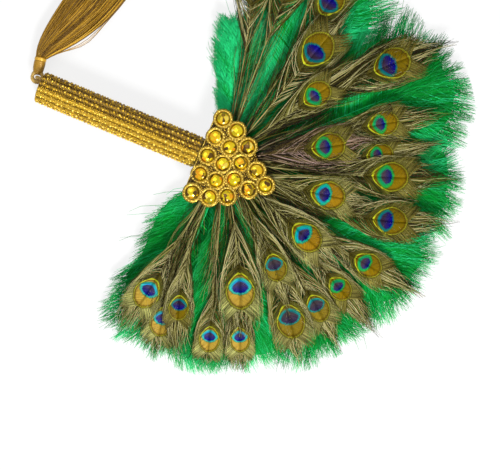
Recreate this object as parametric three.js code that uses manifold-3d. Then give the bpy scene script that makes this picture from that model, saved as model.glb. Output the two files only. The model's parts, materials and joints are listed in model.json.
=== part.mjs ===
// A feather hand fan that lies on its back. A dowel handle in beaded braid holds a board, the board
// carries rows of quills, a cluster of set stones covers the quills, and a tassel hangs on the butt.
// Millimetres. +Z is the front, +Y runs along the handle towards the feather tips and +X is to the right
// of someone who looks at the front with the handle down. The origin is the point that the quills
// spread from, on the flat back of the pad. Bearings are degrees from +Y towards +X.
import * as THREE from "three";
import { mergeVertices } from "three/addons/utils/BufferGeometryUtils.js";
import Module from "manifold-3d";

const wasm = await Module();
wasm.setup();

// Gap between pieces that touch
const CLEARANCE = 0.3;

// Handle
const GRIP_LENGTH = 172;
const GRIP_DIAMETER = 30.5;
const GRIP_SIDES = 30;
const BRAID_THICKNESS = 2.2;
const BRAID_STRIPS = 3;
const RIBS_PER_STRIP = 5;
const RIB_DEPTH = 0.8;

// Board, its tongue in the handle, and the pad behind it
const BOARD_THICKNESS = 3;
const BOARD_MARGIN = 6;
const TONGUE_LENGTH = 38;
const TONGUE_WIDTH = 18;
const PAD_THICKNESS = 1.6;
const PAD_MARGIN = 7;

// Stones and their setting
const CUP_DIAMETER = 17.6;
const CUP_WALL = 2.2;
const CUP_HEIGHT = 2.2;
const CUP_BEVEL = 0.7;
const CUP_LAP = 0.6;
const CUP_SIDES = 16;
const SETTING_THICKNESS = 1.4;
const SETTING_INSET = 5;
const STONE_HEIGHT = 5;
const STONE_GIRDLE = 1;
const STONE_SIDES = 12;
const FIRST_STONE_ROW = -19.6;
// Each row of stones: how many, how far ahead of the first row, the step between them and the shift of
// their middle towards +X, the last three in cup pitches
const STONE_ROWS = [
  { count: 5, ahead: 0, step: 1.16, shift: 0 },
  { count: 5, ahead: 1, step: 1.04, shift: 0.1 },
  { count: 4, ahead: 1.95, step: 1.03, shift: 0.18 },
  { count: 2, ahead: 2.95, step: 1.18, shift: 0.3 },
  { count: 1, ahead: 3.75, step: 0, shift: 0.3 },
];

// Quills and feathers. The fan's reach is from the point that the quills spread from to its outermost tip
const FAN_REACH = 258;
const QUILL_DIAMETER = 1.8;
const QUILL_ROOT = 17;
const QUILL_SEAT = 4;
const QUILL_CLIMB = 12;
const ROOT_ANGLE = 225;
const EYE_TIP = 0.209 * FAN_REACH;
const PLUME_WIDTH = 0.504 * FAN_REACH;
const PLUME_SWELL = 1.3;
const SAG_START = 0.225 * FAN_REACH;
const SAG_POWER = 1.5;

// Eye feathers by layer, from the board up: bearing of the eye, its distance and length as shares of the
// fan's reach, and how far the shaft has turned off its bearing where it reaches the eye
const EYE_LAYERS = [
  [
    { bearing: -104, reach: 0.698, eye: 0.132, bend: -4 },
    { bearing: -80, reach: 0.733, eye: 0.132, bend: 0 },
    { bearing: -26, reach: 0.581, eye: 0.105, bend: -6 },
    { bearing: 25, reach: 0.636, eye: 0.105, bend: 2 },
    { bearing: 73, reach: 0.667, eye: 0.101, bend: 2 },
    { bearing: 90, reach: 0.643, eye: 0.116, bend: -8 },
  ],
  [
    { bearing: -93, reach: 0.736, eye: 0.132, bend: 3 },
    { bearing: -54, reach: 0.729, eye: 0.151, bend: 8 },
    { bearing: -18, reach: 0.616, eye: 0.143, bend: -3 },
    { bearing: 13, reach: 0.655, eye: 0.116, bend: -5 },
    { bearing: 35, reach: 0.643, eye: 0.112, bend: 3 },
    { bearing: 63, reach: 0.667, eye: 0.097, bend: 4 },
  ],
  [
    { bearing: -74, reach: 0.543, eye: 0.151, bend: 0 },
    { bearing: -37, reach: 0.609, eye: 0.120, bend: 2 },
    { bearing: -3, reach: 0.651, eye: 0.136, bend: -13 },
    { bearing: 45, reach: 0.636, eye: 0.136, bend: 8 },
    { bearing: 99, reach: 0.566, eye: 0.124, bend: 3 },
  ],
  [
    { bearing: -60, reach: 0.422, eye: 0.120, bend: 0 },
    { bearing: -5, reach: 0.391, eye: 0.136, bend: -7 },
    { bearing: 42, reach: 0.426, eye: 0.109, bend: 6 },
    { bearing: 86, reach: 0.570, eye: 0.097, bend: -11 },
  ],
  [
    { bearing: -32, reach: 0.380, eye: 0.132, bend: -2 },
    { bearing: 20, reach: 0.399, eye: 0.132, bend: -1 },
    { bearing: 61, reach: 0.473, eye: 0.140, bend: 4 },
  ],
];

// Plumes by layer, from the pad up: bearing of the tip, its distance as a share of the fan's reach, and
// the plume's width as a share of the full width
const PLUME_LAYERS = [
  [
    { bearing: -83, reach: 0.965, wide: 1 },
    { bearing: -18, reach: 0.935, wide: 1 },
    { bearing: 36, reach: 0.862, wide: 1 },
    { bearing: 90, reach: 0.765, wide: 1 },
  ],
  [
    { bearing: -106, reach: 0.6, wide: 0.45 },
    { bearing: -45, reach: 1, wide: 1 },
    { bearing: 9, reach: 0.912, wide: 1 },
    { bearing: 63, reach: 0.812, wide: 1 },
  ],
];

// Cord loop on the butt
const LOOP_CORD = 3.4;
const LOOP_BOW = 5;
const LOOP_STANDOFF = 2.2;
const LOOP_SEAT = 10;
const LOOP_ASIDE = -7.5;
const LOOP_DROP = 1.5;

// Tassel. It points along its bearing at rest. Its skirt curves from there to an end on the skirt's own
// bearing and has curled back a little by then
const TASSEL_BEARING = 260;
const LINK_CORD = 3;
const LINK_RADIUS = 5;
const LUG_WALL = 1.5;
const LUG_WIDTH = 2.4;
const LUG_PLAY = 0.45;
const HEAD_DIAMETER = 10.6;
const HEAD_LENGTH = 10.5;
const SKIRT_BEARING = 286;
const SKIRT_CURL = 8;
const SKIRT_FLARE = 1.25;
const SKIRT_LENGTH = 116;
const SKIRT_WIDTH = 56;
const SKIRT_THICKNESS = 13;
const SKIRT_FLUTES = 14;
const FLUTE_DEPTH = 0.08;

// Values that follow from the driving dimensions
const gripRadius = GRIP_DIAMETER / 2;
const coreRadius = gripRadius - BRAID_THICKNESS - CLEARANCE;
const quillRadius = QUILL_DIAMETER / 2;
const layerPitch = QUILL_DIAMETER + CLEARANCE;
const cupRadius = CUP_DIAMETER / 2;
const cupPitch = CUP_DIAMETER - CUP_LAP;

// Heights of the stack, from the back of the pad to the stones
const plumeHeights = PLUME_LAYERS.map((_, k) => PAD_THICKNESS + CLEARANCE + quillRadius + k * layerPitch);
const boardBottom = plumeHeights.at(-1) + quillRadius + CLEARANCE;
const boardTop = boardBottom + BOARD_THICKNESS;
const axisHeight = (boardBottom + boardTop) / 2;
const eyeHeights = EYE_LAYERS.map((_, k) => boardTop + CLEARANCE + quillRadius + k * layerPitch);
const settingBottom = eyeHeights.at(-1) + quillRadius + CLEARANCE;
const settingTop = settingBottom + SETTING_THICKNESS;
const tableHeight = axisHeight - gripRadius;

// Sags at the rim. The lowest plumes come down to the table, and each layer above rests on the one below
const lowSag = plumeHeights[0] - tableHeight - quillRadius - PLUME_SWELL;
const plumeSags = PLUME_LAYERS.map((_, k) => lowSag - 2 * PLUME_SWELL * k);
const eyeRoom = eyeHeights[0] - plumeHeights.at(-1) - layerPitch;
const eyeSag = plumeSags.at(-1) - PLUME_SWELL + eyeRoom;

// The quills of the eye feathers start side by side on the board, in the order of their bearings
const eyeOrder = EYE_LAYERS.flat().sort((one, other) => one.bearing - other.bearing);
const rootStep = ROOT_ANGLE / (eyeOrder.length - 1);

const stoneCentres = STONE_ROWS.flatMap((row) =>
  Array.from({ length: row.count }, (_, k) => {
    const along = (k - (row.count - 1) / 2) * row.step + row.shift;
    return new THREE.Vector2(along * cupPitch, FIRST_STONE_ROW + row.ahead * cupPitch);
  }),
);
const throatEdge = FIRST_STONE_ROW - cupRadius;
const gripTop = throatEdge - CLEARANCE;
const buttEnd = gripTop - GRIP_LENGTH;

const loopHeight = axisHeight - LOOP_DROP;
const loopRod = new THREE.Vector3(LOOP_ASIDE, buttEnd - LOOP_STANDOFF - LOOP_BOW, loopHeight);
const tasselHeading = headingOf(TASSEL_BEARING);
const linkOffset = LINK_RADIUS - (LOOP_CORD + LINK_CORD) / 2 - CLEARANCE;
const linkCentre = loopRod.clone().addScaledVector(tasselHeading, linkOffset);
const lugCentre = linkCentre.clone().addScaledVector(tasselHeading, LINK_RADIUS);
const lugHole = LINK_CORD / 2 + LUG_PLAY;
const lugRadius = lugHole + LUG_WALL;

const gold = { color: 0xb98a1e, roughness: 0.35, metalness: 0.8 };
const finishes = {
  wood: { color: 0xb58a5a, roughness: 0.7, metalness: 0 },
  braid: gold,
  board: { color: 0x8a7a5c, roughness: 0.9, metalness: 0 },
  felt: { color: 0x0d5a30, roughness: 1, metalness: 0 },
  setting: gold,
  stone: { color: 0xd9a93a, roughness: 0.15, metalness: 0.6 },
  eye: { color: 0x4a6a3a, roughness: 0.6, metalness: 0 },
  plume: { color: 0x0a8a48, roughness: 0.9, metalness: 0 },
  cord: { color: 0xa8843c, roughness: 0.7, metalness: 0 },
  thread: { color: 0xc79a2e, roughness: 0.5, metalness: 0.1 },
};

function headingOf(bearing) {
  const angle = THREE.MathUtils.degToRad(bearing);
  return new THREE.Vector3(Math.sin(angle), Math.cos(angle), 0);
}

// Booleans

function solidOf(geometry) {
  const bare = geometry.clone();
  bare.deleteAttribute("normal");
  bare.deleteAttribute("uv");
  const merged = mergeVertices(bare, 1e-4);
  const mesh = new wasm.Mesh({
    numProp: 3,
    vertProperties: new Float32Array(merged.attributes.position.array),
    triVerts: new Uint32Array(merged.index.array),
  });
  return new wasm.Manifold(mesh);
}

function geometryOf(solid) {
  const mesh = solid.getMesh();
  const geometry = new THREE.BufferGeometry();
  geometry.setAttribute("position", new THREE.BufferAttribute(new Float32Array(mesh.vertProperties), 3));
  geometry.setIndex(new THREE.BufferAttribute(new Uint32Array(mesh.triVerts), 1));
  geometry.computeVertexNormals();
  return geometry;
}

// Shapes

// Closed solid through rings of points that run anticlockwise about the way from the first to the last
function loft(rings) {
  const sides = rings[0].length;
  const index = [];
  for (let ring = 0; ring + 1 < rings.length; ring += 1) {
    for (let side = 0; side < sides; side += 1) {
      const here = ring * sides + side;
      const next = ring * sides + ((side + 1) % sides);
      index.push(here, next, next + sides, here, next + sides, here + sides);
    }
  }
  const last = (rings.length - 1) * sides;
  for (let side = 1; side + 1 < sides; side += 1) {
    index.push(0, side + 1, side, last, last + side, last + side + 1);
  }
  const geometry = new THREE.BufferGeometry().setFromPoints(rings.flat());
  geometry.setIndex(index);
  geometry.computeVertexNormals();
  return geometry;
}

// Ring of an ellipse about a centre, as points of the two half axes
function ellipseRing(centre, halfWide, halfHigh, sides, ripple = () => 1) {
  return Array.from({ length: sides }, (_, k) => {
    const angle = (2 * Math.PI * k) / sides;
    const point = centre.clone().addScaledVector(halfWide, Math.cos(angle) * ripple(k));
    return point.addScaledVector(halfHigh, Math.sin(angle) * ripple(k));
  });
}

// Above zero where the way from start through middle to end turns left
function leftTurn(start, middle, end) {
  const first = new THREE.Vector2().subVectors(middle, start);
  return first.cross(new THREE.Vector2().subVectors(end, start));
}

// Anticlockwise convex hull of points in a plane
function convexHull(points) {
  const sorted = [...points].sort((p, q) => p.x - q.x || p.y - q.y);
  const half = (ordered) => {
    const chain = [];
    for (const point of ordered) {
      while (chain.length > 1 && leftTurn(chain.at(-2), chain.at(-1), point) <= 0) {
        chain.pop();
      }
      chain.push(point);
    }
    return chain.slice(0, -1);
  };
  return [...half(sorted), ...half([...sorted].reverse())];
}

// Outline of the stone cluster, grown by a radius, with a round corner about each outer stone
function clusterOutline(radius) {
  const hull = convexHull(stoneCentres);
  const shape = new THREE.Shape();
  hull.forEach((point, k) => {
    const before = hull.at(k - 1);
    const after = hull[(k + 1) % hull.length];
    const start = Math.atan2(point.y - before.y, point.x - before.x) - Math.PI / 2;
    const end = Math.atan2(after.y - point.y, after.x - point.x) - Math.PI / 2;
    shape.absarc(point.x, point.y, radius, start, end, false);
  });
  return shape;
}

function slab(shape, bottom, thickness) {
  const extrusion = { depth: thickness, bevelEnabled: false, curveSegments: 4 };
  return new THREE.ExtrudeGeometry(shape, extrusion).translate(0, 0, bottom);
}

// Handle

function handleCore() {
  const dowel = new THREE.CylinderGeometry(coreRadius, coreRadius, GRIP_LENGTH, GRIP_SIDES);
  dowel.translate(0, buttEnd + GRIP_LENGTH / 2, axisHeight);
  const slotDepth = gripTop - throatEdge + TONGUE_LENGTH + CLEARANCE;
  const slotHeight = BOARD_THICKNESS + 2 * CLEARANCE;
  const slot = new THREE.BoxGeometry(GRIP_DIAMETER, 2 * slotDepth, slotHeight);
  slot.translate(0, gripTop, axisHeight);
  let core = solidOf(dowel).subtract(solidOf(slot));
  const boreRadius = LOOP_CORD / 2 + CLEARANCE;
  for (const side of [-1, 1]) {
    const bore = new THREE.CylinderGeometry(boreRadius, boreRadius, 2 * (LOOP_SEAT + CLEARANCE), 12);
    bore.translate(LOOP_ASIDE, buttEnd, loopHeight + side * LOOP_BOW);
    core = core.subtract(solidOf(bore));
  }
  return geometryOf(core);
}

// One lengthwise strip of braid, an arc round the core with a rib for each row of beads
function braidStrip(number) {
  const innerRadius = coreRadius + CLEARANCE;
  const seam = CLEARANCE / innerRadius;
  const sweep = (2 * Math.PI) / BRAID_STRIPS - seam;
  const start = number * (sweep + seam) + Math.PI / 2;
  const steps = 4 * RIBS_PER_STRIP;
  const outer = Array.from({ length: steps + 1 }, (_, k) => {
    const radius = gripRadius - (RIB_DEPTH * (1 + Math.cos((2 * Math.PI * k) / 4))) / 2;
    const angle = start + (sweep * k) / steps;
    return new THREE.Vector2(Math.cos(angle), Math.sin(angle)).multiplyScalar(radius);
  });
  const inner = Array.from({ length: steps / 2 + 1 }, (_, k) => {
    const angle = start + sweep - (2 * sweep * k) / steps;
    const radius = innerRadius / Math.cos(sweep / steps);
    return new THREE.Vector2(Math.cos(angle), Math.sin(angle)).multiplyScalar(radius);
  });
  const shape = new THREE.Shape([...outer, ...inner]);
  const geometry = new THREE.ExtrudeGeometry(shape, { depth: GRIP_LENGTH, bevelEnabled: false });
  return geometry.rotateX(Math.PI / 2).translate(0, gripTop, axisHeight);
}

// Throat

function featherBoard() {
  const plate = slab(clusterOutline(cupRadius - BOARD_MARGIN), boardBottom, BOARD_THICKNESS);
  const tongueTop = FIRST_STONE_ROW;
  const length = tongueTop - throatEdge + TONGUE_LENGTH;
  const tongue = new THREE.BoxGeometry(TONGUE_WIDTH, length, BOARD_THICKNESS);
  tongue.translate(0, tongueTop - length / 2, axisHeight);
  return geometryOf(solidOf(plate).add(solidOf(tongue)));
}

function backPad() {
  return slab(clusterOutline(cupRadius - PAD_MARGIN), 0, PAD_THICKNESS);
}

// Dishes whose rims lap, on one plate
function gemSetting() {
  const innerRadius = cupRadius - CUP_WALL;
  const profile = [
    new THREE.Vector2(0, -SETTING_THICKNESS),
    new THREE.Vector2(cupRadius - CUP_BEVEL, -SETTING_THICKNESS),
    new THREE.Vector2(cupRadius, CUP_BEVEL - SETTING_THICKNESS),
    new THREE.Vector2(cupRadius, CUP_HEIGHT - CUP_BEVEL),
    new THREE.Vector2(cupRadius - CUP_BEVEL, CUP_HEIGHT),
    new THREE.Vector2(innerRadius, CUP_HEIGHT),
    new THREE.Vector2(innerRadius, 0),
    new THREE.Vector2(0, 0),
  ];
  const cup = solidOf(new THREE.LatheGeometry(profile, CUP_SIDES).rotateX(Math.PI / 2));
  const plate = slab(clusterOutline(cupRadius - SETTING_INSET), settingBottom, SETTING_THICKNESS);
  const hollow = new THREE.CylinderGeometry(innerRadius, innerRadius, CUP_HEIGHT, CUP_SIDES);
  const well = solidOf(hollow.rotateX(Math.PI / 2).translate(0, 0, CUP_HEIGHT / 2));
  const at = (solid, centre) => solid.translate([centre.x, centre.y, settingTop]);
  const dishes = stoneCentres.map((centre) => at(cup, centre));
  const wells = stoneCentres.map((centre) => at(well, centre));
  return geometryOf(wasm.Manifold.union([solidOf(plate), ...dishes]).subtract(wasm.Manifold.union(wells)));
}

function gemStone() {
  const radius = cupRadius - CUP_WALL - CLEARANCE;
  const crown = STONE_HEIGHT - STONE_GIRDLE;
  const profile = [
    new THREE.Vector2(0, 0),
    new THREE.Vector2(radius, 0),
    new THREE.Vector2(radius, STONE_GIRDLE),
    new THREE.Vector2(radius * Math.cos(Math.PI / 4), STONE_GIRDLE + crown * Math.sin(Math.PI / 4)),
    new THREE.Vector2(radius * Math.cos(Math.PI / 2.6), STONE_HEIGHT),
    new THREE.Vector2(0, STONE_HEIGHT),
  ];
  return new THREE.LatheGeometry(profile, STONE_SIDES).rotateX(Math.PI / 2);
}

// Feathers

const rimShare = (radius) => (Math.max(0, radius - SAG_START) / (FAN_REACH - SAG_START)) ** SAG_POWER;

// Blade along an arc in plan, from its root to where its shaft ends and on past it. Each station gives the
// way along the shaft and the half width, half thickness and height there. Every point sags with its
// distance from the middle, so layers stay apart.
function blade({ root, heading, bend, shaft, stations, sag, sides }) {
  const turn = THREE.MathUtils.degToRad(bend);
  const rings = stations.map(({ along, wide, thick, height }) => {
    const half = (turn * along) / shaft;
    const chord = half === 0 ? along : (along * Math.sin(half)) / half;
    const turned = (bend * along) / shaft;
    const centre = root.clone().addScaledVector(headingOf(heading - bend + turned), chord);
    const left = headingOf(heading - bend + 2 * turned - 90);
    centre.z = height;
    return ellipseRing(centre, left.multiplyScalar(wide), new THREE.Vector3(0, 0, thick), sides);
  });
  for (const point of rings.flat()) {
    point.z -= sag * rimShare(Math.hypot(point.x, point.y));
  }
  return loft(rings);
}

// The quill is seated on the board and climbs to its layer before the vane widens
function eyeFeather(entry, height) {
  const { bearing, bend } = entry;
  const eye = entry.eye * FAN_REACH;
  const rootBearing = (eyeOrder.indexOf(entry) - (eyeOrder.length - 1) / 2) * rootStep;
  const root = headingOf(rootBearing).multiplyScalar(QUILL_ROOT);
  const way = headingOf(bearing).multiplyScalar(entry.reach * FAN_REACH).sub(root);
  const heading = THREE.MathUtils.radToDeg(Math.atan2(way.x, way.y));
  const turn = THREE.MathUtils.degToRad(bend);
  const shaft = bend === 0 ? way.length() : (way.length() * turn) / Math.sin(turn);
  const climbed = QUILL_SEAT + QUILL_CLIMB;
  const vane = shaft - climbed;
  const stations = [
    { along: 0, wide: quillRadius, height: eyeHeights[0] },
    { along: QUILL_SEAT, wide: quillRadius, height: eyeHeights[0] },
    { along: climbed, wide: quillRadius },
    { along: climbed + 0.2 * vane, wide: 0.14 * eye },
    { along: climbed + 0.4 * vane, wide: 0.25 * eye },
    { along: shaft - 0.9 * eye, wide: 0.4 * eye },
    { along: shaft - 0.45 * eye, wide: 0.54 * eye },
    { along: shaft, wide: 0.62 * eye },
    { along: shaft + 0.4 * eye, wide: 0.56 * eye },
    { along: shaft + 0.6 * EYE_TIP, wide: 0.42 * eye },
    { along: shaft + 0.85 * EYE_TIP, wide: 0.24 * eye },
    { along: shaft + EYE_TIP, wide: 0.08 * eye },
  ].map((station) => ({ height, thick: quillRadius, ...station }));
  return blade({ root, heading, bend, shaft, stations, sag: eyeSag, sides: 4 });
}

function plume({ bearing, reach, wide: fullness }, height, sag) {
  const shaft = reach * FAN_REACH - QUILL_ROOT;
  const halfWidth = (fullness * PLUME_WIDTH) / 2;
  const outline = [
    [0, 0],
    [0.07, 0.03],
    [0.2, 0.22],
    [0.35, 0.5],
    [0.5, 0.76],
    [0.65, 0.93],
    [0.78, 1],
    [0.88, 1],
    [0.95, 0.88],
    [0.99, 0.62],
    [1, 0.4],
  ];
  const stations = outline.map(([share, wide]) => ({
    along: share * shaft,
    wide: quillRadius + wide * (halfWidth - quillRadius),
    thick: quillRadius + PLUME_SWELL * rimShare(QUILL_ROOT + share * shaft),
    height,
  }));
  const root = headingOf(bearing).multiplyScalar(QUILL_ROOT);
  return blade({ root, heading: bearing, bend: 0, shaft, stations, sag, sides: 8 });
}

// Cord loop and tassel

// Bow of cord out of the butt: a leg, a half circle and a leg
function hangingLoop() {
  const cord = LOOP_CORD / 2;
  const bowEnd = buttEnd - LOOP_STANDOFF;
  const seatEnd = buttEnd + LOOP_SEAT;
  const bowSteps = 12;
  const path = [new THREE.Vector3(LOOP_ASIDE, seatEnd, loopHeight + LOOP_BOW)];
  for (let step = 0; step <= bowSteps; step += 1) {
    const angle = (Math.PI * step) / bowSteps;
    const y = bowEnd - LOOP_BOW * Math.sin(angle);
    path.push(new THREE.Vector3(LOOP_ASIDE, y, loopHeight + LOOP_BOW * Math.cos(angle)));
  }
  path.push(new THREE.Vector3(LOOP_ASIDE, seatEnd, loopHeight - LOOP_BOW));
  const across = new THREE.Vector3(1, 0, 0);
  const rings = path.map((point, k) => {
    const before = path[Math.max(0, k - 1)];
    const after = path[Math.min(path.length - 1, k + 1)];
    const way = new THREE.Vector3().subVectors(after, before).normalize();
    const other = new THREE.Vector3().crossVectors(way, across);
    return ellipseRing(point, across.clone().multiplyScalar(cord), other.multiplyScalar(cord), 8);
  });
  return loft(rings);
}

function tasselLoop() {
  return new THREE.TorusGeometry(LINK_RADIUS, LINK_CORD / 2, 8, 24);
}

// Head in its own frame, with the lug's hole along x through the origin and the head along y
function tasselHead() {
  const radius = HEAD_DIAMETER / 2;
  const neck = 0.6 * lugRadius;
  const top = lugHole + LUG_WALL / 2;
  const end = lugRadius + HEAD_LENGTH;
  const profile = [
    new THREE.Vector2(0, top),
    new THREE.Vector2(neck, top),
    new THREE.Vector2(neck, lugRadius + 0.1 * HEAD_LENGTH),
    new THREE.Vector2(0.92 * radius, lugRadius + 0.4 * HEAD_LENGTH),
    new THREE.Vector2(0.95 * radius, lugRadius + 0.6 * HEAD_LENGTH),
    new THREE.Vector2(0.85 * radius, lugRadius + 0.68 * HEAD_LENGTH),
    new THREE.Vector2(radius, lugRadius + 0.74 * HEAD_LENGTH),
    new THREE.Vector2(radius, lugRadius + 0.92 * HEAD_LENGTH),
    new THREE.Vector2(0.85 * radius, end),
    new THREE.Vector2(0, end),
  ];
  const lug = new THREE.CylinderGeometry(lugRadius, lugRadius, LUG_WIDTH, 16).rotateZ(Math.PI / 2);
  const hole = new THREE.CylinderGeometry(lugHole, lugHole, 2 * LUG_WIDTH, 16).rotateZ(Math.PI / 2);
  const body = solidOf(new THREE.LatheGeometry(profile, 16)).add(solidOf(lug));
  return geometryOf(body.subtract(solidOf(hole)));
}

// Skirt of threads: flattened and fluted, fanned out from the head and let down onto the table
function tasselSkirt() {
  const start = lugCentre.clone().addScaledVector(tasselHeading, lugRadius + HEAD_LENGTH + CLEARANCE);
  const end = start.clone().addScaledVector(headingOf(SKIRT_BEARING), SKIRT_LENGTH);
  end.z = tableHeight + SKIRT_THICKNESS / 2;
  const leave = start.clone().addScaledVector(tasselHeading, SKIRT_LENGTH / 8);
  const arrive = end.clone().addScaledVector(headingOf(SKIRT_BEARING - SKIRT_CURL), -SKIRT_LENGTH / 2);
  const curve = new THREE.CubicBezierCurve3(start, leave, arrive, end);
  const neck = 0.85 * (HEAD_DIAMETER / 2);
  const steps = 10;
  const rings = Array.from({ length: steps + 1 }, (_, k) => {
    const share = k / steps;
    const spread = Math.sin((Math.PI / 2) * share) ** SKIRT_FLARE;
    const way = curve.getTangent(share);
    const left = new THREE.Vector3(-way.y, way.x, 0).normalize();
    const up = new THREE.Vector3().crossVectors(way, left);
    const wide = neck + (SKIRT_WIDTH / 2 - neck) * spread;
    const high = neck + (SKIRT_THICKNESS / 2 - neck) * spread;
    const flute = (side) => 1 - FLUTE_DEPTH * (side % 2);
    const centre = curve.getPoint(share);
    return ellipseRing(centre, left.multiplyScalar(wide), up.multiplyScalar(high), 2 * SKIRT_FLUTES, flute);
  });
  return loft(rings);
}

// Assembly

const fan = new THREE.Group();

function put(name, geometry, finish) {
  const mesh = new THREE.Mesh(geometry, new THREE.MeshStandardMaterial(finishes[finish]));
  mesh.name = name;
  fan.add(mesh);
  return mesh;
}

const numbered = (name, number) => `${name}_${String(number).padStart(2, "0")}`;

put("handle_core", handleCore(), "wood");
for (let strip = 0; strip < BRAID_STRIPS; strip += 1) {
  put(numbered("braid_strip", strip + 1), braidStrip(strip), "braid");
}
put("feather_board", featherBoard(), "board");
put("back_pad", backPad(), "felt");
put("gem_setting", gemSetting(), "setting");
stoneCentres.forEach((centre, k) => {
  const stone = put(numbered("gem_stone", k + 1), gemStone(), "stone");
  stone.position.set(centre.x, centre.y, settingTop + CLEARANCE);
});

let plumeCount = 0;
PLUME_LAYERS.forEach((layer, k) => {
  for (const entry of layer) {
    plumeCount += 1;
    put(numbered("green_plume", plumeCount), plume(entry, plumeHeights[k], plumeSags[k]), "plume");
  }
});

let eyeCount = 0;
EYE_LAYERS.forEach((layer, k) => {
  for (const entry of layer) {
    eyeCount += 1;
    put(numbered("eye_feather", eyeCount), eyeFeather(entry, eyeHeights[k]), "eye");
  }
});

put("hanging_loop", hangingLoop(), "cord");
put("tassel_loop", tasselLoop(), "cord").position.copy(linkCentre);
const head = put("tassel_head", tasselHead(), "thread");
head.position.copy(lugCentre);
head.rotation.z = THREE.MathUtils.degToRad(-TASSEL_BEARING);
put("tassel_skirt", tasselSkirt(), "thread");

export default fan;
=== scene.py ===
"""Looks of a feather hand fan that lies on its back: feathers, beaded braid, set stones and a tassel.

Every surface is worked out in millimetres as whole arrays and put into its mesh in metres. The places come
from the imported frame, so a piece follows its node when the frame changes.
"""

import json
import math
from collections import namedtuple

import bpy
import numpy as np
from mathutils import Matrix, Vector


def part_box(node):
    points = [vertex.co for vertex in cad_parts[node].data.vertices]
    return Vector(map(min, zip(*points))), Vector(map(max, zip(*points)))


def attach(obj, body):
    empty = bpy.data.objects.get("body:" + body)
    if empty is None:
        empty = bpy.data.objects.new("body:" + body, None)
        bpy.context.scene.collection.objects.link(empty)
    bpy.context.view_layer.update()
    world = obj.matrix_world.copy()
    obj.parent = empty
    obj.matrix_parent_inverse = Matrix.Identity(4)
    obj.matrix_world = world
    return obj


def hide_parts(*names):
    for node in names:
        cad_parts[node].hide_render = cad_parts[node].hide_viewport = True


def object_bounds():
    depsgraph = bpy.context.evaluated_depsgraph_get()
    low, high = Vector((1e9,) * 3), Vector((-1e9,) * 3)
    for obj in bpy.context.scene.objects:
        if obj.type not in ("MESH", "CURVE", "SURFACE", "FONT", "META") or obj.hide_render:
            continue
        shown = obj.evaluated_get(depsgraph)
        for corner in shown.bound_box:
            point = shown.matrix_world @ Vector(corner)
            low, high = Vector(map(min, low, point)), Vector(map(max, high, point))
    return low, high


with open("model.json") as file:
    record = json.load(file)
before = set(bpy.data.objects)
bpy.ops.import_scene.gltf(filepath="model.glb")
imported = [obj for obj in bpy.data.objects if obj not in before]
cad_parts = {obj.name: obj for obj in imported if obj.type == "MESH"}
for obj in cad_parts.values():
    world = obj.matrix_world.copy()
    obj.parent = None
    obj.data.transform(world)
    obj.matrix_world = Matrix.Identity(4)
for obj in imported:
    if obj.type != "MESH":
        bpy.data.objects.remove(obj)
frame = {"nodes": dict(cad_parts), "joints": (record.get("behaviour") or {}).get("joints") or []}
CAD_BOX = [list(corner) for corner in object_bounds()]

bl_info = {
    "name": "Feather fan",
    "version": (1, 0, 0),
    "blender": (4, 5, 0),
    "location": "View3D > Sidebar > Fan",
    "description": "Feathers, braid, stones and tassel for the feather fan's frame",
    "category": "Add Mesh",
}

MM = 0.001
CHART = "OFBake"
NODES = frame["nodes"]
PLUME_NODES = sorted(name for name in NODES if name.startswith("green_plume"))
EYE_NODES = sorted(name for name in NODES if name.startswith("eye_feather"))
STONE_NODES = sorted(name for name in NODES if name.startswith("gem_stone"))
STRIP_NODES = sorted(name for name in NODES if name.startswith("braid_strip"))

# The solid of an eye feather is widest at its eye, with this half width for each unit of the eye's length
EYE_HALF_WIDTH = 0.62

# The point in the middle of the picture, the way to the picture's right and the width that it shows at the
# point's height, in millimetres by the photograph's scale
VIEW_CENTRE = (56.1, 48.9, 5.0)
VIEW_RIGHT = (-0.384, 0.923, 0.0)
VIEW_WIDTH = 500.0
# The lamps: ways to the picture's right and top and the height over its middle, the size, all in metres, and
# the watts
LAMPS = {"key": (0.45, -2.2, 1.9, 0.7, 120.0), "fill": (-0.5, 0.5, 1.4, 1.2, 8.0)}

# Starts of the random numbers for each kind of piece
PLUME_SCATTER, EYE_SCATTER, BRAID_SCATTER = 0, 100, 200
SETTING_SCATTER, LEAN_SCATTER, TASSEL_SCATTER = 300, 400, 500

# Bearings in degrees from the fan's middle line, less than 0 on its left, at which the plumes change: the
# first one's barbs are short, those of the left half are wide, and the last one is wide and long
FIRST_PLUME, WIDE_PLUMES, LAST_PLUME = -100, (-90, -40), 85
WIDE_PLUME, LAST_PLUME_WIDE, LAST_PLUME_LONG = 1.2, 1.25, 1.07
# Half width of the last plume next to the setting, by the way along it
PUFF_ALONG, PUFF_WIDE = (8, 40, 56, 112), (18, 47, 53, 52)
# The plumes' tone grows lighter from one bearing on, over some degrees
FRESH_FROM, FRESH_OVER = -60, 40

# Bearings at which the eye feathers change: fine herl in thin ropes, long herl, more stray herl between two
# of them and past the right one, and brushes that stay open
FINE_HERL, LONG_HERL, STRAY_HERL, RIGHT_HERL, OPEN_BRUSH = -65, -80, (-58, -30), 95, 55
# Share of the loose strands by bearing
HERL_BEARINGS, HERL_SHARES = (-75, -60, 10, 50), (0.52, 1.3, 1.3, 0.8)


def srgb(red, green, blue):
    """Linear colour of a screen colour given from 0 to 255."""
    share = np.array([red, green, blue], float) / 255
    return tuple(np.where(share <= 0.04045, share / 12.92, ((share + 0.055) / 1.055) ** 2.4))


def colour_property(name, description, colour):
    return bpy.props.FloatVectorProperty(
        name=name, description=description, subtype="COLOR", size=3, min=0, max=1, default=colour
    )


def count_property(name, description, count, low=20, high=800):
    return bpy.props.IntProperty(name=name, description=description, default=count, min=low, max=high)


def length_property(name, description, length):
    """Property of a length that is given in millimetres."""
    return bpy.props.FloatProperty(name=name, description=description, default=length * MM, unit="LENGTH")


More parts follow.
